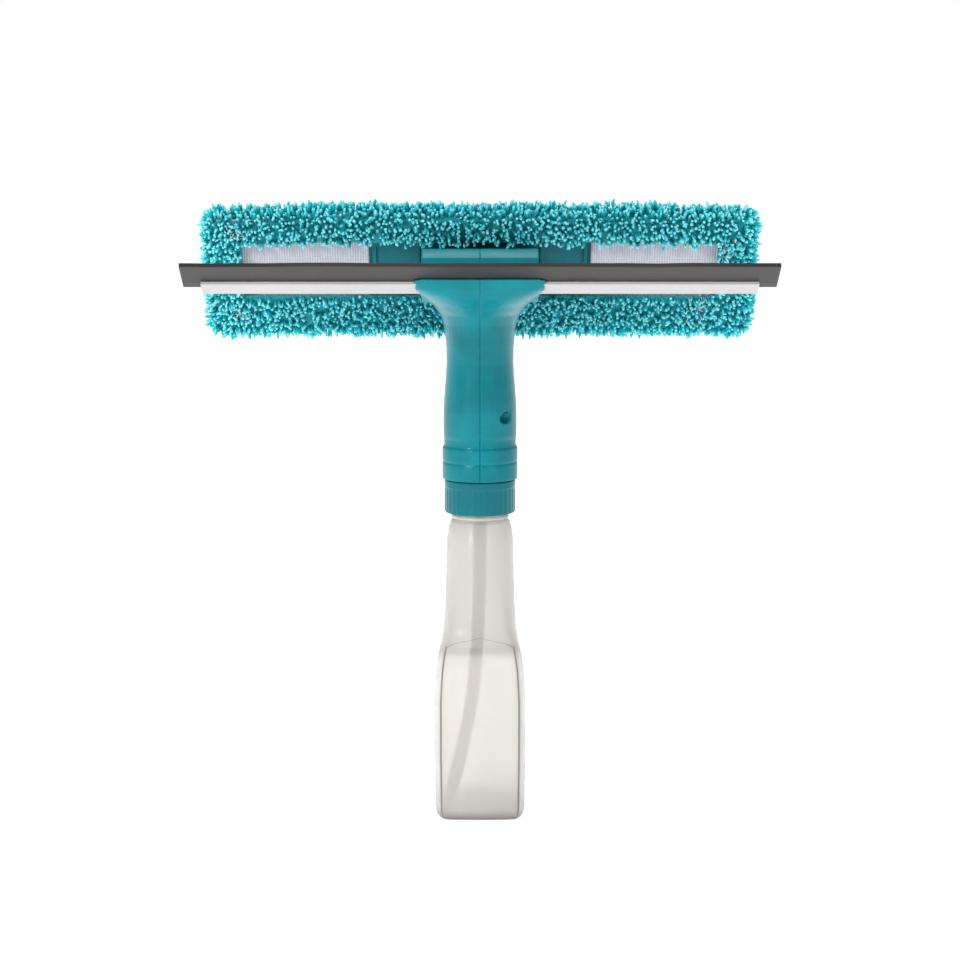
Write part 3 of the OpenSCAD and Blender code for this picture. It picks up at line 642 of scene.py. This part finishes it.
@dataclass
class Bottle:
    """The blow-moulded bottle with its flat rear face, its neck thread and the tube inside."""

    finish: Finishes
    count: int = 144
    wall: float = 1.3 * MM
    face_share: float = 0.84
    chamfer: float = 7.0 * MM
    crisp: float = 26.0
    neck_r: float = 12.5 * MM
    grip_top: float = 138 * MM
    thread_pitch: float = 4.2 * MM
    thread_turns: float = 1.5
    thread_depth: float = 1.1 * MM
    thread_drop: float = 3.0 * MM
    bead_r: float = 1.0 * MM
    bead_rise: float = 1.3 * MM
    turn_steps: int = 72
    panel_top: float = 77.5
    shoulder_end: float = 82.0
    foot_band: float = 7.0
    tube_r: float = 3.0 * MM
    tube_wall: float = 0.7 * MM

    def section(self, z: float, half_x: float, half_y: float, roundness: float) -> Ring:
        """A level ring: a rectangle with chamfered corners, blended into an ellipse.

        Args:
            z: Its height.
            half_x: Half its width.
            half_y: Half its depth.
            roundness: 0 for the chamfered rectangle, 1 for the ellipse.

        Returns:
            The points in order.
        """
        face = half_x * self.face_share
        slope = (self.chamfer, half_x - face)
        reach = slope[0] * face + slope[1] * half_y
        crisp = self.crisp
        ring = []
        for k in range(self.count):
            a = (k + 0.5) * math.tau / self.count
            c, s = abs(math.cos(a)), abs(math.sin(a))
            limits = (c / half_x, s / half_y, (slope[0] * c + slope[1] * s) / reach)
            square = sum(v**crisp for v in limits) ** (-1 / crisp)
            oval = math.hypot(c / half_x, s / half_y) ** -1
            r = square * (1 - roundness) + oval * roundness
            ring.append(Vector((r * math.cos(a), r * math.sin(a), z)))
        return ring

    def mark(self, obj: bpy.types.Object) -> None:
        """Notes how far across each point lies, and where the wall is painted darker: painted shade in a
        band at the foot, and a fainter band at the shoulder.

        Args:
            obj: The bottle's wall.
        """
        points = np.array([v.co[:] for v in obj.data.vertices])
        heights = np.array([row[0] for row in self.profile()])
        widths = np.array([row[1] for row in self.profile()])
        across = np.abs(points[:, 0]) / np.interp(points[:, 2], heights, widths)
        rise = points[:, 2] / MM
        # The finish paints a dark line of shade where "across" reaches the chamfer corner; the narrow
        # sides and the part above the shoulder are kept out of its reach.
        across = np.where(np.abs(points[:, 1]) > self.chamfer, across, 1.2)
        across = across + np.clip((rise - self.shoulder_end) / 4.0, 0, 1)
        # Painted shade at the foot, and a fainter darker band at the shoulder, both stored under "thick".
        foot = np.clip(1 - rise / self.foot_band, 0, 1) * 0.75
        shoulder = np.clip((rise - self.panel_top) / 2.0, 0, 1) * 0.26
        for name, values in (("across", across), ("thick", np.maximum(foot, shoulder))):
            data = obj.data.attributes.new(name, "FLOAT", "POINT").data
            data.foreach_set("value", values.astype(np.float32))

    def profile(self) -> list[tuple[float, float, float, float]]:
        """Height, half width, half depth and roundness, from the foot up.

        Returns:
            One row for each level.
        """
        low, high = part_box("bottle")
        x, y = high.x, high.y
        rows = [
            (0.0, x - 2.6 * MM, y - 2.6 * MM, 0.12),
            (0.5 * MM, x - 1.6 * MM, y - 1.5 * MM, 0.06),
            (2.0 * MM, x - 0.9 * MM, y - 0.6 * MM, 0.02),
            (5.0 * MM, x - 0.5 * MM, y - 0.2 * MM, 0.0),
            (30.0 * MM, x - 0.1 * MM, y - 0.1 * MM, 0.0),
            (56.0 * MM, x - 0.1 * MM, y - 0.1 * MM, 0.0),
            (70.0 * MM, x - 1.0 * MM, y - 0.2 * MM, 0.0),
            (76.5 * MM, x - 2.0 * MM, y - 0.4 * MM, 0.0),
            (78.6 * MM, x - 2.5 * MM, y - 1.2 * MM, 0.05),
            (81.0 * MM, x - 3.1 * MM, y - 3.6 * MM, 0.2),
            (86.0 * MM, x - 4.2 * MM, y - 5.6 * MM, 0.5),
            (96.0 * MM, x - 5.0 * MM, y - 7.2 * MM, 0.8),
            (112.0 * MM, x - 5.6 * MM, y - 8.1 * MM, 1.0),
            (128.0 * MM, x - 5.9 * MM, y - 9.8 * MM, 1.0),
            (134.0 * MM, x - 6.7 * MM, y - 11.6 * MM, 1.0),
            (137.2 * MM, self.neck_r + 1.4 * MM, self.neck_r + 1.6 * MM, 1.0),
            (138.4 * MM, self.neck_r, self.neck_r, 1.0),
        ]
        return rows

    def rings(self) -> list[Ring]:
        """The outside, from the middle of the pushed-up base to the lip.

        Returns:
            The rings in order.
        """
        rows = self.profile()
        foot = rows[0]
        rings = [
            self.section(rise, foot[1] * share, foot[2] * share, 0.12)
            for share, rise in ((0.06, 2.0 * MM), (0.5, 1.7 * MM), (0.82, 1.0 * MM), (0.93, 0.15 * MM))
        ]
        steps = 3
        for low, high in zip(rows, rows[1:]):
            for k in range(steps):
                t = k / steps
                mixed = [a * (1 - t) + b * t for a, b in zip(low, high)]
                rings.append(self.section(*mixed))
        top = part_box("bottle")[1].z
        for z in (rows[-1][0], self.grip_top + 2.2 * MM, top - 0.4 * MM):
            rings.append(self.section(z, self.neck_r, self.neck_r, 1.0))
        rings.append(self.section(top, self.neck_r - 0.4 * MM, self.neck_r - 0.4 * MM, 1.0))
        return rings

    def body(self) -> bpy.types.Object:
        """The bottle's wall, from one skin that is given its thickness.

        Returns:
            The wall.
        """
        bm = bmesh.new()
        loops = loft(bm, self.rings())
        rim = [e for e in bm.edges if e.is_boundary and all(v in loops[0] for v in e.verts)]
        bmesh.ops.contextual_create(bm, geom=rim)
        bmesh.ops.recalc_face_normals(bm, faces=bm.faces)
        obj = mesh_object("bottle_wall", bm)
        thicken(obj, self.wall)
        self.mark(obj)
        shade_by_angle(obj, 28)
        return obj

    def thread(self) -> bpy.types.Object:
        """The neck's thread and the bead below it.

        Returns:
            Both in one piece.
        """
        bm = bmesh.new()
        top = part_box("bottle")[1].z
        start = top - self.thread_drop - self.thread_turns * self.thread_pitch
        corners = [(-0.2, -0.95), (1.0, -0.45), (1.0, 0.45), (-0.2, 0.95)]
        points = [Vector((self.neck_r + a * self.thread_depth, 0, start + b * MM)) for a, b in corners]
        face = bm.faces.new([bm.verts.new(p) for p in points])
        rise = self.thread_turns * self.thread_pitch / self.turn_steps
        bmesh.ops.spin(
            bm, geom=[face, *face.edges, *face.verts], cent=(0, 0, 0), axis=(0, 0, 1),
            dvec=(0, 0, rise), angle=self.thread_turns * math.tau, steps=self.turn_steps,
        )
        bead = bmesh.ops.create_circle(bm, segments=14, radius=self.bead_r)["verts"]
        seat = Matrix.Translation((self.neck_r, 0, self.grip_top + self.bead_rise))
        upright = Matrix.Rotation(math.pi / 2, 4, "X")
        bmesh.ops.transform(bm, matrix=seat @ upright, verts=bead)
        loop = {e for v in bead for e in v.link_edges}
        bmesh.ops.spin(
            bm, geom=list(loop), cent=(0, 0, 0), axis=(0, 0, 1), angle=math.tau,
            steps=self.turn_steps, use_merge=True,
        )
        bmesh.ops.remove_doubles(bm, verts=bm.verts, dist=1e-7)
        bmesh.ops.recalc_face_normals(bm, faces=bm.faces)
        return mesh_object("bottle_thread", bm)

    def tube_point(self, t: float) -> Vector:
        """A place on the dip tube's middle line, from its socket to its foot.

        Args:
            t: 0 at the socket, 1 at the foot.

        Returns:
            The place.
        """
        low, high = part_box("dip_tube")
        foot_x = low.x + self.tube_r
        route = [
            Vector((0, -5 * MM, high.z)),
            Vector((0, -5 * MM, 68 * MM)),
            Vector((-2 * MM, -9 * MM, 52 * MM)),
            Vector((foot_x, -12 * MM, low.z + 0.5 * MM)),
        ]
        s = 1 - t
        weights = (s**3, 3 * s * s * t, 3 * s * t * t, t**3)
        return sum((p * w for p, w in zip(route, weights)), Vector())

    def tube(self) -> bpy.types.Object:
        """The dip tube, bent from its socket to its foot.

        Returns:
            The tube.
        """
        bm = bmesh.new()
        rings = []
        steps = 44
        for i in range(steps + 1):
            t = i / steps
            centre = self.tube_point(t)
            heading = (self.tube_point(min(t + 0.01, 1)) - self.tube_point(max(t - 0.01, 0))).normalized()
            side = heading.cross(Vector((0, 1, 0))).normalized()
            other = side.cross(heading)
            rings.append([
                centre + (self.tube_r - 0.05 * MM) * (math.cos(a) * side + math.sin(a) * other)
                for a in (k * math.tau / 20 for k in range(20))
            ])
        loft(bm, rings)
        bmesh.ops.recalc_face_normals(bm, faces=bm.faces)
        obj = mesh_object("dip_tube_wall", bm)
        thicken(obj, self.tube_wall)
        shade_by_angle(obj, 50)
        return obj

    def build(self) -> None:
        """Makes and dresses the bottle, its thread and its tube."""
        body = self.body()
        dress(body, self.finish.bottle)
        place(body, Body.BOTTLE, "bottle")
        thread = self.thread()
        dress(thread, self.finish.bottle)
        place(thread, Body.BOTTLE)
        tube = self.tube()
        dress(tube, self.finish.tube)
        place(tube, Body.HEAD, "dip_tube")


# ---- sprayer ----


@dataclass(frozen=True)
class Moulding:
    """A CAD node that is shown as a moulding with soft edges."""

    node: str
    body: Body
    material: bpy.types.Material
    slot: str
    voxel: float = 0.45 * MM
    smoothing: int = 4

    def build(self) -> None:
        """Makes and dresses the moulding."""
        obj = moulded_copy(self.node, f"{self.node}_moulding", self.voxel, self.smoothing)
        dress(obj, self.material)
        place(obj, self.body, self.node)


@dataclass
class Sprayer:
    """The two neck shells, the collar, the trigger, the nozzle cap and the pump inside."""

    finish: Finishes
    stroke: float = 7.1 * MM

    def mouldings(self) -> list[Moulding]:
        """The outside mouldings."""
        teal, slot = self.finish.teal, "teal_plastic"
        return [
            Moulding("left_shell", Body.HEAD, teal, slot),
            Moulding("right_shell", Body.HEAD, teal, slot),
            Moulding("trigger", Body.TRIGGER, teal, slot, 0.4 * MM),
            Moulding("nozzle_cap", Body.NOZZLE, teal, slot, 0.3 * MM, 3),
            Moulding("screw_collar", Body.COLLAR, self.finish.collar, "collar_plastic", 0.32 * MM, 2),
        ]

    def build(self) -> None:
        """Makes the mouldings and dresses the pump's own CAD nodes."""
        for moulding in self.mouldings():
            moulding.build()
        inside = {
            "natural": ("neck_gasket", "valve_tube", "pump_body", "piston", "swirl_insert"),
            "seal": ("outlet_valve", "piston_seal", "nozzle_seal"),
            "steel": ("inlet_ball", "trigger_pin", "shell_screws"),
        }
        for finish, nodes in inside.items():
            for node in nodes:
                dress_node(node, getattr(self.finish, finish))
        self.spring()

    def spring(self) -> None:
        """The return spring, a copy of its CAD node that rides on the head."""
        piece = copy_of_node("return_spring", "return_spring_wire")
        dress(piece, self.finish.steel)
        place(piece, Body.HEAD, "return_spring")
        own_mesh(piece)


def dress_node(node: str, material: bpy.types.Material) -> None:
    """Gives a CAD node that is kept its material.

    Args:
        node: The CAD node.
        material: Its finish.
    """
    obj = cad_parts[node]
    obj.data.materials.clear()
    obj.data.materials.append(material)
    LOG.info("%s keeps its exact shape", node)


def bevel_node(node: str, width: float) -> None:
    """Softens a kept CAD node's edges, after its loose triangles are welded.

    Args:
        node: The CAD node.
        width: How wide the softened edge is.
    """
    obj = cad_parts[node]
    weld = obj.modifiers.new("weld", "WELD")
    weld.merge_threshold = 1e-6
    bevel = obj.modifiers.new("soft_edges", "BEVEL")
    bevel.width = width
    bevel.segments = 2
    bevel.limit_method = "ANGLE"
    bevel.angle_limit = math.radians(40)


# ---- squeegee ----


@dataclass
class Squeegee:
    """The rubber blade in its channel."""

    finish: Finishes
    tilt: float = math.radians(30)
    bead_end: float = 7.0 * MM
    thick: float = 1.95 * MM
    jaw: float = 1.52 * MM
    bead_in: float = 5.4 * MM
    bead_r: float = 1.55 * MM
    wave: float = 0.35 * MM
    mouth: Vector = field(default_factory=Vector)
    reach: float = 0.0

    def root(self) -> Vector:
        """The lower corner of the channel's mouth, from the tilted channel's box.

        Returns:
            The corner.
        """
        low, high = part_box("blade_channel")
        c, s = math.cos(self.tilt), math.sin(self.tilt)
        deep = ((high.y - low.y) * c - (high.z - low.z) * s) / (c * c - s * s)
        return Vector((0, low.y, low.z + deep * s))

    def at(self, x: float, into: float, up: float) -> Vector:
        """A place given along the blade, into the channel and across it."""
        c, s = math.cos(self.tilt), math.sin(self.tilt)
        return self.mouth + Vector((x, into * c + up * s, -into * s + up * c))

    def outline(self) -> list[tuple[float, float]]:
        """The blade's section: its square tip, its flat and its locking bead.

        Returns:
            Pairs of the depth into the channel and the height across it.
        """
        low, high = self.jaw, self.jaw + self.thick
        crown = [
            (self.bead_in + self.bead_r * math.cos(a), low + self.bead_r * (1 + math.sin(a)))
            for a in (math.radians(d) for d in range(-90, 151, 24))
        ]
        tip = -self.reach
        flat_in = [tip + self.reach * k / 6 for k in range(1, 7)]
        lower = [(tip, low + 0.12 * MM), (tip + 0.12 * MM, low)] + [(s, low) for s in flat_in]
        upper = [(s, high) for s in reversed(flat_in)] + [(tip + 0.12 * MM, high), (tip, high - 0.12 * MM)]
        return lower + crown + upper

    def blade(self) -> bpy.types.Object:
        """The rubber, a little wavy along its free edge.

        Returns:
            The blade.
        """
        low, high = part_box("rubber_blade")
        self.mouth = self.root()
        deep = (high.y - low.y - self.thick * math.sin(self.tilt)) / math.cos(self.tilt)
        self.reach = deep - self.bead_end
        outline = self.outline()
        bm = bmesh.new()
        steps = 150
        rings = []
        for i in range(steps + 1):
            x = low.x + (high.x - low.x) * i / steps
            ring = []
            for into, up in outline:
                free = max(0.0, -into / self.reach) ** 2
                sway = noise.noise(Vector((x * 22, 3.1, 0))) + 0.4 * noise.noise(Vector((x * 70, 0, 5)))
                ring.append(self.at(x, into, up + self.wave * free * sway))
            rings.append(ring)
        loops = loft(bm, rings)
        for loop in (loops[0], loops[-1]):
            bm.faces.new(loop)
        bmesh.ops.recalc_face_normals(bm, faces=bm.faces)
        obj = mesh_object("blade_rubber", bm)
        shade_by_angle(obj, 40)
        return obj

    def build(self) -> None:
        """Makes the blade and dresses the channel and its clamp strip."""
        blade = self.blade()
        dress(blade, self.finish.rubber)
        place(blade, Body.HEAD, "rubber_blade")
        dress_node("blade_channel", self.finish.channel)
        dress_node("clamp_strip", self.finish.strip)
        bevel_node("blade_channel", 0.18 * MM)
        bevel_node("clamp_strip", 0.15 * MM)


# ---- pad ----


@dataclass
class Pad:
    """The plate, its two knit pockets, and the chenille cover with its pile."""

    finish: Finishes
    tilt: float = math.radians(30)
    centre: Vector = field(default_factory=lambda: Vector((0, 18 * MM, 256 * MM)))
    half_l: float = 126.4 * MM
    top: float = 27.8 * MM
    bottom: float = -36.6 * MM
    front: float = -6.0 * MM
    back: float = 5.0 * MM
    opening: tuple[float, float] = (111.5 * MM, 14.5 * MM)
    cloth: float = 1.0 * MM
    cell: float = 3.3 * MM
    share: float = 3.1
    noodle_long: tuple[float, float] = (3.6 * MM, 5.2 * MM)
    noodle_thick: tuple[float, float] = (0.58 * MM, 0.8 * MM)
    corner: float = 3.6 * MM
    puff: float = 4.0
    puff_frames: int = 16
    puff_limit: float = 0.9 * MM
    sag_from: float = 62.0
    sag_over: float = 64.0
    sag: tuple[float, float] = (2.3, 1.7)
    plate_back: float = 1.75 * MM
    knit_thick: float = 0.8 * MM
    threads: int = 34
    thread_spots: tuple[tuple[int, int], ...] = ((-113, 18), (-112, -24), (116, 12), (103, -20))
    pocket_inner: float = 51.5 * MM
    plate_half: tuple[float, float] = (122 * MM, 26 * MM)
    rng: random.Random = field(default_factory=lambda: random.Random(SEED))

    def frame_matrix(self) -> Matrix:
        """Takes (along, up, back) into the object's own directions."""
        return Matrix.Translation(self.centre) @ Matrix.Rotation(math.pi / 2 + self.tilt, 4, "X")

    def swell(self, obj: bpy.types.Object) -> None:
        """Puffs a form up with a short cloth simulation, no point moving past the limit.

        Args:
            obj: The form.
        """
        rest = np.array([v.co[:] for v in obj.data.vertices])
        modifier = obj.modifiers.new("cloth", "CLOTH")
        modifier.settings.use_pressure = True
        modifier.settings.uniform_pressure_force = self.puff
        modifier.settings.effector_weights.gravity = 0.0
        modifier.point_cache.frame_end = self.puff_frames
        scene = bpy.context.scene
        for step in range(1, self.puff_frames + 1):
            scene.frame_set(step)
        apply_modifiers(obj)
        scene.frame_set(1)
        moved = np.array([v.co[:] for v in obj.data.vertices]) - rest
        length = np.linalg.norm(moved, axis=1, keepdims=True)
        kept = rest + moved * np.minimum(1.0, self.puff_limit / np.maximum(length, 1e-9))
        obj.data.vertices.foreach_set("co", kept.astype(np.float32).ravel())

    def cover(self) -> bpy.types.Object:
        """The cover's cloth, wrapped round the plate with its opening at the back.

        Returns:
            The cloth, as a skin.
        """
        middle = Vector((0, (self.top + self.bottom) / 2, (self.front + self.back) / 2))
        bm = bmesh.new()
        bmesh.ops.create_cube(bm, size=1.0)
        shape = Matrix.Translation(middle) @ Matrix.Diagonal(
            (2 * self.half_l, self.top - self.bottom, self.back - self.front, 1))
        bmesh.ops.transform(bm, matrix=shape, verts=bm.verts)
        bmesh.ops.bevel(
            bm, geom=list(bm.edges), offset=self.corner, segments=3, profile=0.5, affect="EDGES",
            material=-1)
        obj = mesh_object("chenille_cover", bm)
        grid = obj.modifiers.new("grid", "REMESH")
        grid.mode = "VOXEL"
        grid.voxel_size = self.cell
        apply_modifiers(obj)
        self.swell(obj)
        bm = bmesh.new()
        bm.from_mesh(obj.data)
        inside = [
            f for f in bm.faces
            if abs(f.calc_center_median().x) < self.opening[0]
            and abs(f.calc_center_median().y) < self.opening[1] and f.normal.z > 0.5
        ]
        bmesh.ops.delete(bm, geom=inside, context="FACES")
        bmesh.ops.recalc_face_normals(bm, faces=bm.faces)
        for v in bm.verts:
            v.co += v.normal * 0.5 * MM * noise.noise(v.co * 34)
            v.co.y -= self.droop(v.co)
        bm.to_mesh(obj.data)
        bm.free()
        return obj

    def droop(self, at: Vector) -> float:
        """How far the cloth's top edge hangs lower at the two ends and in between.

        Args:
            at: A place on the cloth.

        Returns:
            How far it hangs there.
        """
        high = min(1.0, max(0.0, at.y / self.top))
        end = min(1.0, max(0.0, (abs(at.x) / MM - self.sag_from) / self.sag_over))
        ends = self.sag[0 if at.x < 0 else 1] * end * end * (3 - 2 * end)
        return high * MM * (ends + 0.7 * noise.noise(Vector((at.x * 16, 2.0, 0))))

    def seats(self, obj: bpy.types.Object) -> list[tuple[Vector, Vector]]:
        """Where the noodles grow.

        Args:
            obj: The cloth.

        Returns:
            Each noodle's root and the cloth's normal there.
        """
        seats = []
        for face in obj.data.polygons:
            corners = [obj.data.vertices[i].co for i in face.vertices]
            for _ in range(int(self.share) + (self.rng.random() < self.share % 1)):
                a, b = self.rng.random(), self.rng.random()
                low = corners[0].lerp(corners[1], a)
                high = corners[-1].lerp(corners[2], a)
                seats.append((low.lerp(high, b), face.normal.copy()))
        return seats

    def noodle(self) -> tuple[np.ndarray, list[tuple[int, ...]]]:
        """One noodle of unit length: a soft tube with a round tip.

        Returns:
            Its points and its faces.
        """
        bm = bmesh.new()
        levels = [(0.0, 0.85), (0.72, 1.0), (0.92, 0.82), (1.0, 0.42)]
        rings = [superellipse(z, r, r, 2, 6) for z, r in levels]
        loops = loft(bm, rings)
        for loop in (loops[0], loops[-1]):
            bm.faces.new(loop)
        bmesh.ops.recalc_face_normals(bm, faces=bm.faces)
        bm.verts.ensure_lookup_table()
        bm.verts.index_update()
        points = np.array([v.co[:] for v in bm.verts])
        faces = [tuple(v.index for v in f.verts) for f in bm.faces]
        bm.free()
        return points, faces

    def grow(
        self, name: str, seats: Sequence[tuple[Vector, Vector]], length: tuple[float, float],
        thick: tuple[float, float], lean: float,
    ) -> bpy.types.Object:
        """Grows a noodle on each seat, and joins them into one piece.

        Args:
            name: The piece's name.
            seats: Roots and normals.
            length: Shortest and longest noodle.
            thick: Thinnest and thickest noodle's radius.
            lean: How far the noodles lean over, 0 for upright.

        Returns:
            The pile.
        """
        points, faces = self.noodle()
        all_points, all_faces, along, tone = [], [], [], []
        for root, normal in seats:
            tangent = Vector([self.rng.uniform(-1, 1) for _ in range(3)])
            tangent = (tangent - normal * tangent.dot(normal)).normalized()
            lean_now = lean * self.rng.random()
            heading = (normal + tangent * lean_now).normalized()
            side = heading.cross(tangent).normalized()
            other = side.cross(heading)
            bend = Vector([self.rng.uniform(-1, 1) for _ in range(3)]) * 0.24
            reach = self.rng.uniform(*length)
            radius = self.rng.uniform(*thick)
            z = points[:, 2:3]
            made = (
                np.array(root) - np.array(normal) * 0.0004
                + points[:, 0:1] * radius * np.array(side) + points[:, 1:2] * radius * np.array(other)
                + reach * (z * np.array(heading) + z * z * np.array(bend))
            )
            start = len(all_points) * len(points)
            all_points.append(made)
            all_faces.extend(tuple(start + i for i in f) for f in faces)
            # along runs from 0 at the root to 1 at the tip; the pile's finish paints shade at the root and
            # a highlight at the tip from it.
            along.append(points[:, 2])
            tone.append(np.full(len(points), self.rng.random()))
        mesh = bpy.data.meshes.new(name)
        mesh.from_pydata(np.concatenate(all_points).tolist(), [], all_faces)
        for key, values in (("along", along), ("tone", tone)):
            data = mesh.attributes.new(key, "FLOAT", "POINT").data
            data.foreach_set("value", np.concatenate(values).astype(np.float32))
        mesh.transform(self.frame_matrix())
        mesh.shade_smooth()
        obj = bpy.data.objects.new(name, mesh)
        bpy.context.scene.collection.objects.link(obj)
        return obj

    def build_cover(self) -> None:
        """Makes the cover and its pile."""
        cover = self.cover()
        seats = self.seats(cover)
        groups: dict[str, list[tuple[Vector, Vector]]] = {
            f"{face}_{end}": [] for face in ("front", "rear") for end in ("left", "right")
        }
        for seat in seats:
            key = ("front" if seat[1].z < -0.5 else "rear") + ("_left" if seat[0].x < 0 else "_right")
            groups[key].append(seat)
        for key, members in groups.items():
            pile = self.grow(f"pile_{key}", members, self.noodle_long, self.noodle_thick, 0.5)
            dress(pile, self.finish.chenille)
            place(pile, Body.HEAD)
        thicken(cover, self.cloth)
        cover.data.transform(self.frame_matrix())
        cover.data.shade_smooth()
        dress(cover, self.finish.backing)
        place(cover, Body.HEAD, "pad_cover")

    def lint(self) -> None:
        """Loose white sewing threads where the pockets are sewn in."""
        seats = []
        back = self.back + 0.4 * MM
        for x, up in self.thread_spots:
            for _ in range(self.threads):
                along = x * MM + self.rng.gauss(0, 2.2 * MM)
                rise = up * MM + self.rng.gauss(0, 3.2 * MM)
                lean = Vector((self.rng.uniform(-0.6, 0.6), self.rng.uniform(-0.6, 0.6), 1))
                seats.append((Vector((along, rise, back)), lean.normalized()))
        threads = self.grow("seam_threads", seats, (2.5 * MM, 5.5 * MM), (0.18 * MM, 0.32 * MM), 1.6)
        dress(threads, self.finish.lint)
        place(threads, Body.HEAD)

    def pocket(self, side: int) -> None:
        """One knit pocket, stretched over the plate's end.

        Args:
            side: -1 for the left pocket, 1 for the right one.
        """
        name = "left" if side < 0 else "right"
        inner, outer = self.pocket_inner, self.plate_half[0] - 0.6 * MM
        half_h = self.plate_half[1] - 0.9 * MM
        seat = Matrix.Translation((side * (inner + outer) / 2, 0, self.plate_back + 0.65 * MM))
        bm = bmesh.new()
        bmesh.ops.create_grid(bm, x_segments=60, y_segments=48, size=0.5)
        shape = Matrix.Diagonal((outer - inner, 2 * half_h, 1, 1))
        bmesh.ops.transform(bm, matrix=seat @ shape, verts=bm.verts)
        for v in bm.verts:
            edge = abs(abs(v.co.x) - inner)
            v.co.z += 0.16 * MM * noise.noise(v.co * 60) + (0.35 * MM if edge < 1.3 * MM else 0.0)
        bmesh.ops.transform(bm, matrix=self.frame_matrix(), verts=bm.verts)
        bmesh.ops.recalc_face_normals(bm, faces=bm.faces)
        obj = mesh_object(f"{name}_pocket_cloth", bm)
        wall = obj.modifiers.new("cloth_thickness", "SOLIDIFY")
        wall.thickness = self.knit_thick
        wall.offset = 0
        dress(obj, self.finish.knit)
        place(obj, Body.HEAD, f"{name}_pocket")

    def build(self) -> None:
        """Makes every piece of the pad."""
        dress_node("pad_plate", self.finish.dark_teal)
        bevel_node("pad_plate", 0.3 * MM)
        dress_node("plate_screws", self.finish.steel)
        self.pocket(-1)
        self.pocket(1)
        self.build_cover()
        self.lint()


# ---- studio ----


@dataclass
class Studio:
    """The pale floor and backdrop, the soft lights and the camera."""

    target: Vector = field(default_factory=lambda: Vector((0.0, 0.0, 0.156)))
    distance: float = 1.216
    elevation: float = math.radians(8)
    lens: float = 98.0
    dim_side: float = 0.22
    bright_side: float = 0.8
    floor_glow: float = 0.64
    floor_r: float = 60.0
    lamps: tuple[tuple[str, Colour, float, float], ...] = (
        ("key_left", (-1.0, -1.35, 0.75), 0.24, 14),
        ("fill_right", (1.1, -1.5, 0.75), 0.22, 4.5),
        ("top_soft", (0.1, 0.3, 2.0), 1.4, 22),
    )

    def floor(self) -> None:
        """A wide pale floor that runs out to the horizon on every side."""
        bm = bmesh.new()
        bmesh.ops.create_circle(bm, cap_ends=True, segments=96, radius=self.floor_r)
        floor = mesh_object("studio_floor", bm)
        shader = Shader("pale_paper").set(Roughness=0.9, Specular_IOR_Level=0.1)
        stops = [(0.3, (0.86, 0.86, 0.865)), (0.7, (0.88, 0.88, 0.885))]
        shader.paint(shader.noise(3.0, 3.0), stops)
        shader.set(Emission_Color=(1.0, 1.0, 1.0), Emission_Strength=self.floor_glow)
        floor.data.materials.append(shader.material)

    def lamp(self, name: str, at: Colour, size: float, power_w: float) -> None:
        """A square soft light that faces the object.

        Args:
            name: Its name.
            at: Where it stands.
            size: Its side.
            power_w: Its power in watts.
        """
        data = bpy.data.lights.new(name, "AREA")
        data.size = size
        data.energy = power_w
        obj = bpy.data.objects.new(name, data)
        obj.location = at
        aim = Vector((0, 0, 0.2)) - obj.location
        obj.rotation_euler = aim.to_track_quat("-Z", "Y").to_euler()
        bpy.context.scene.collection.objects.link(obj)

    def sky(self) -> bpy.types.World:
        """A white sky whose light is dim from behind the object, so that gloss keeps its colour.

        Returns:
            The world.
        """
        world = bpy.data.worlds.new("soft_sky")
        world.use_nodes = True
        nodes, links = world.node_tree.nodes, world.node_tree.links
        split = nodes.new("ShaderNodeSeparateXYZ")
        links.new(nodes.new("ShaderNodeTexCoord").outputs["Generated"], split.inputs[0])
        spread = nodes.new("ShaderNodeMapRange")
        spread.inputs["From Min"].default_value = -0.6
        spread.inputs["From Max"].default_value = 0.5
        spread.inputs["To Min"].default_value = self.dim_side
        spread.inputs["To Max"].default_value = self.bright_side
        links.new(split.outputs["Y"], spread.inputs["Value"])
        seen = nodes.new("ShaderNodeMix")
        links.new(nodes.new("ShaderNodeLightPath").outputs["Is Camera Ray"], seen.inputs["Factor"])
        links.new(spread.outputs[0], seen.inputs["A"])
        seen.inputs["B"].default_value = 1.0
        links.new(seen.outputs["Result"], nodes["Background"].inputs["Strength"])
        nodes["Background"].inputs["Color"].default_value = (1.0, 1.0, 1.0, 1.0)
        return world

    def build(self) -> None:
        """Makes the backdrop, the lights, the sky's fill and the camera."""
        scene = bpy.context.scene
        self.floor()
        for row in self.lamps:
            self.lamp(*row)
        scene.world = self.sky()
        scene.view_settings.view_transform = "Standard"
        data = bpy.data.cameras.new("view")
        data.lens = self.lens
        data.clip_end = 50
        camera = bpy.data.objects.new("view", data)
        out = Vector((0, -math.cos(self.elevation), math.sin(self.elevation)))
        camera.location = self.target + out * self.distance
        camera.rotation_euler = (-out).to_track_quat("-Z", "Y").to_euler()
        scene.collection.objects.link(camera)
        scene.camera = camera


def main() -> None:
    """Builds the object around its frame, then the studio."""
    logging.basicConfig(level=logging.INFO, format="%(name)s: %(message)s")
    Studio().build()
    finish = Finishes()
    for part in (Bottle(finish), Sprayer(finish), Squeegee(finish), Pad(finish)):
        part.build()


if __name__ == "__main__":
    main()
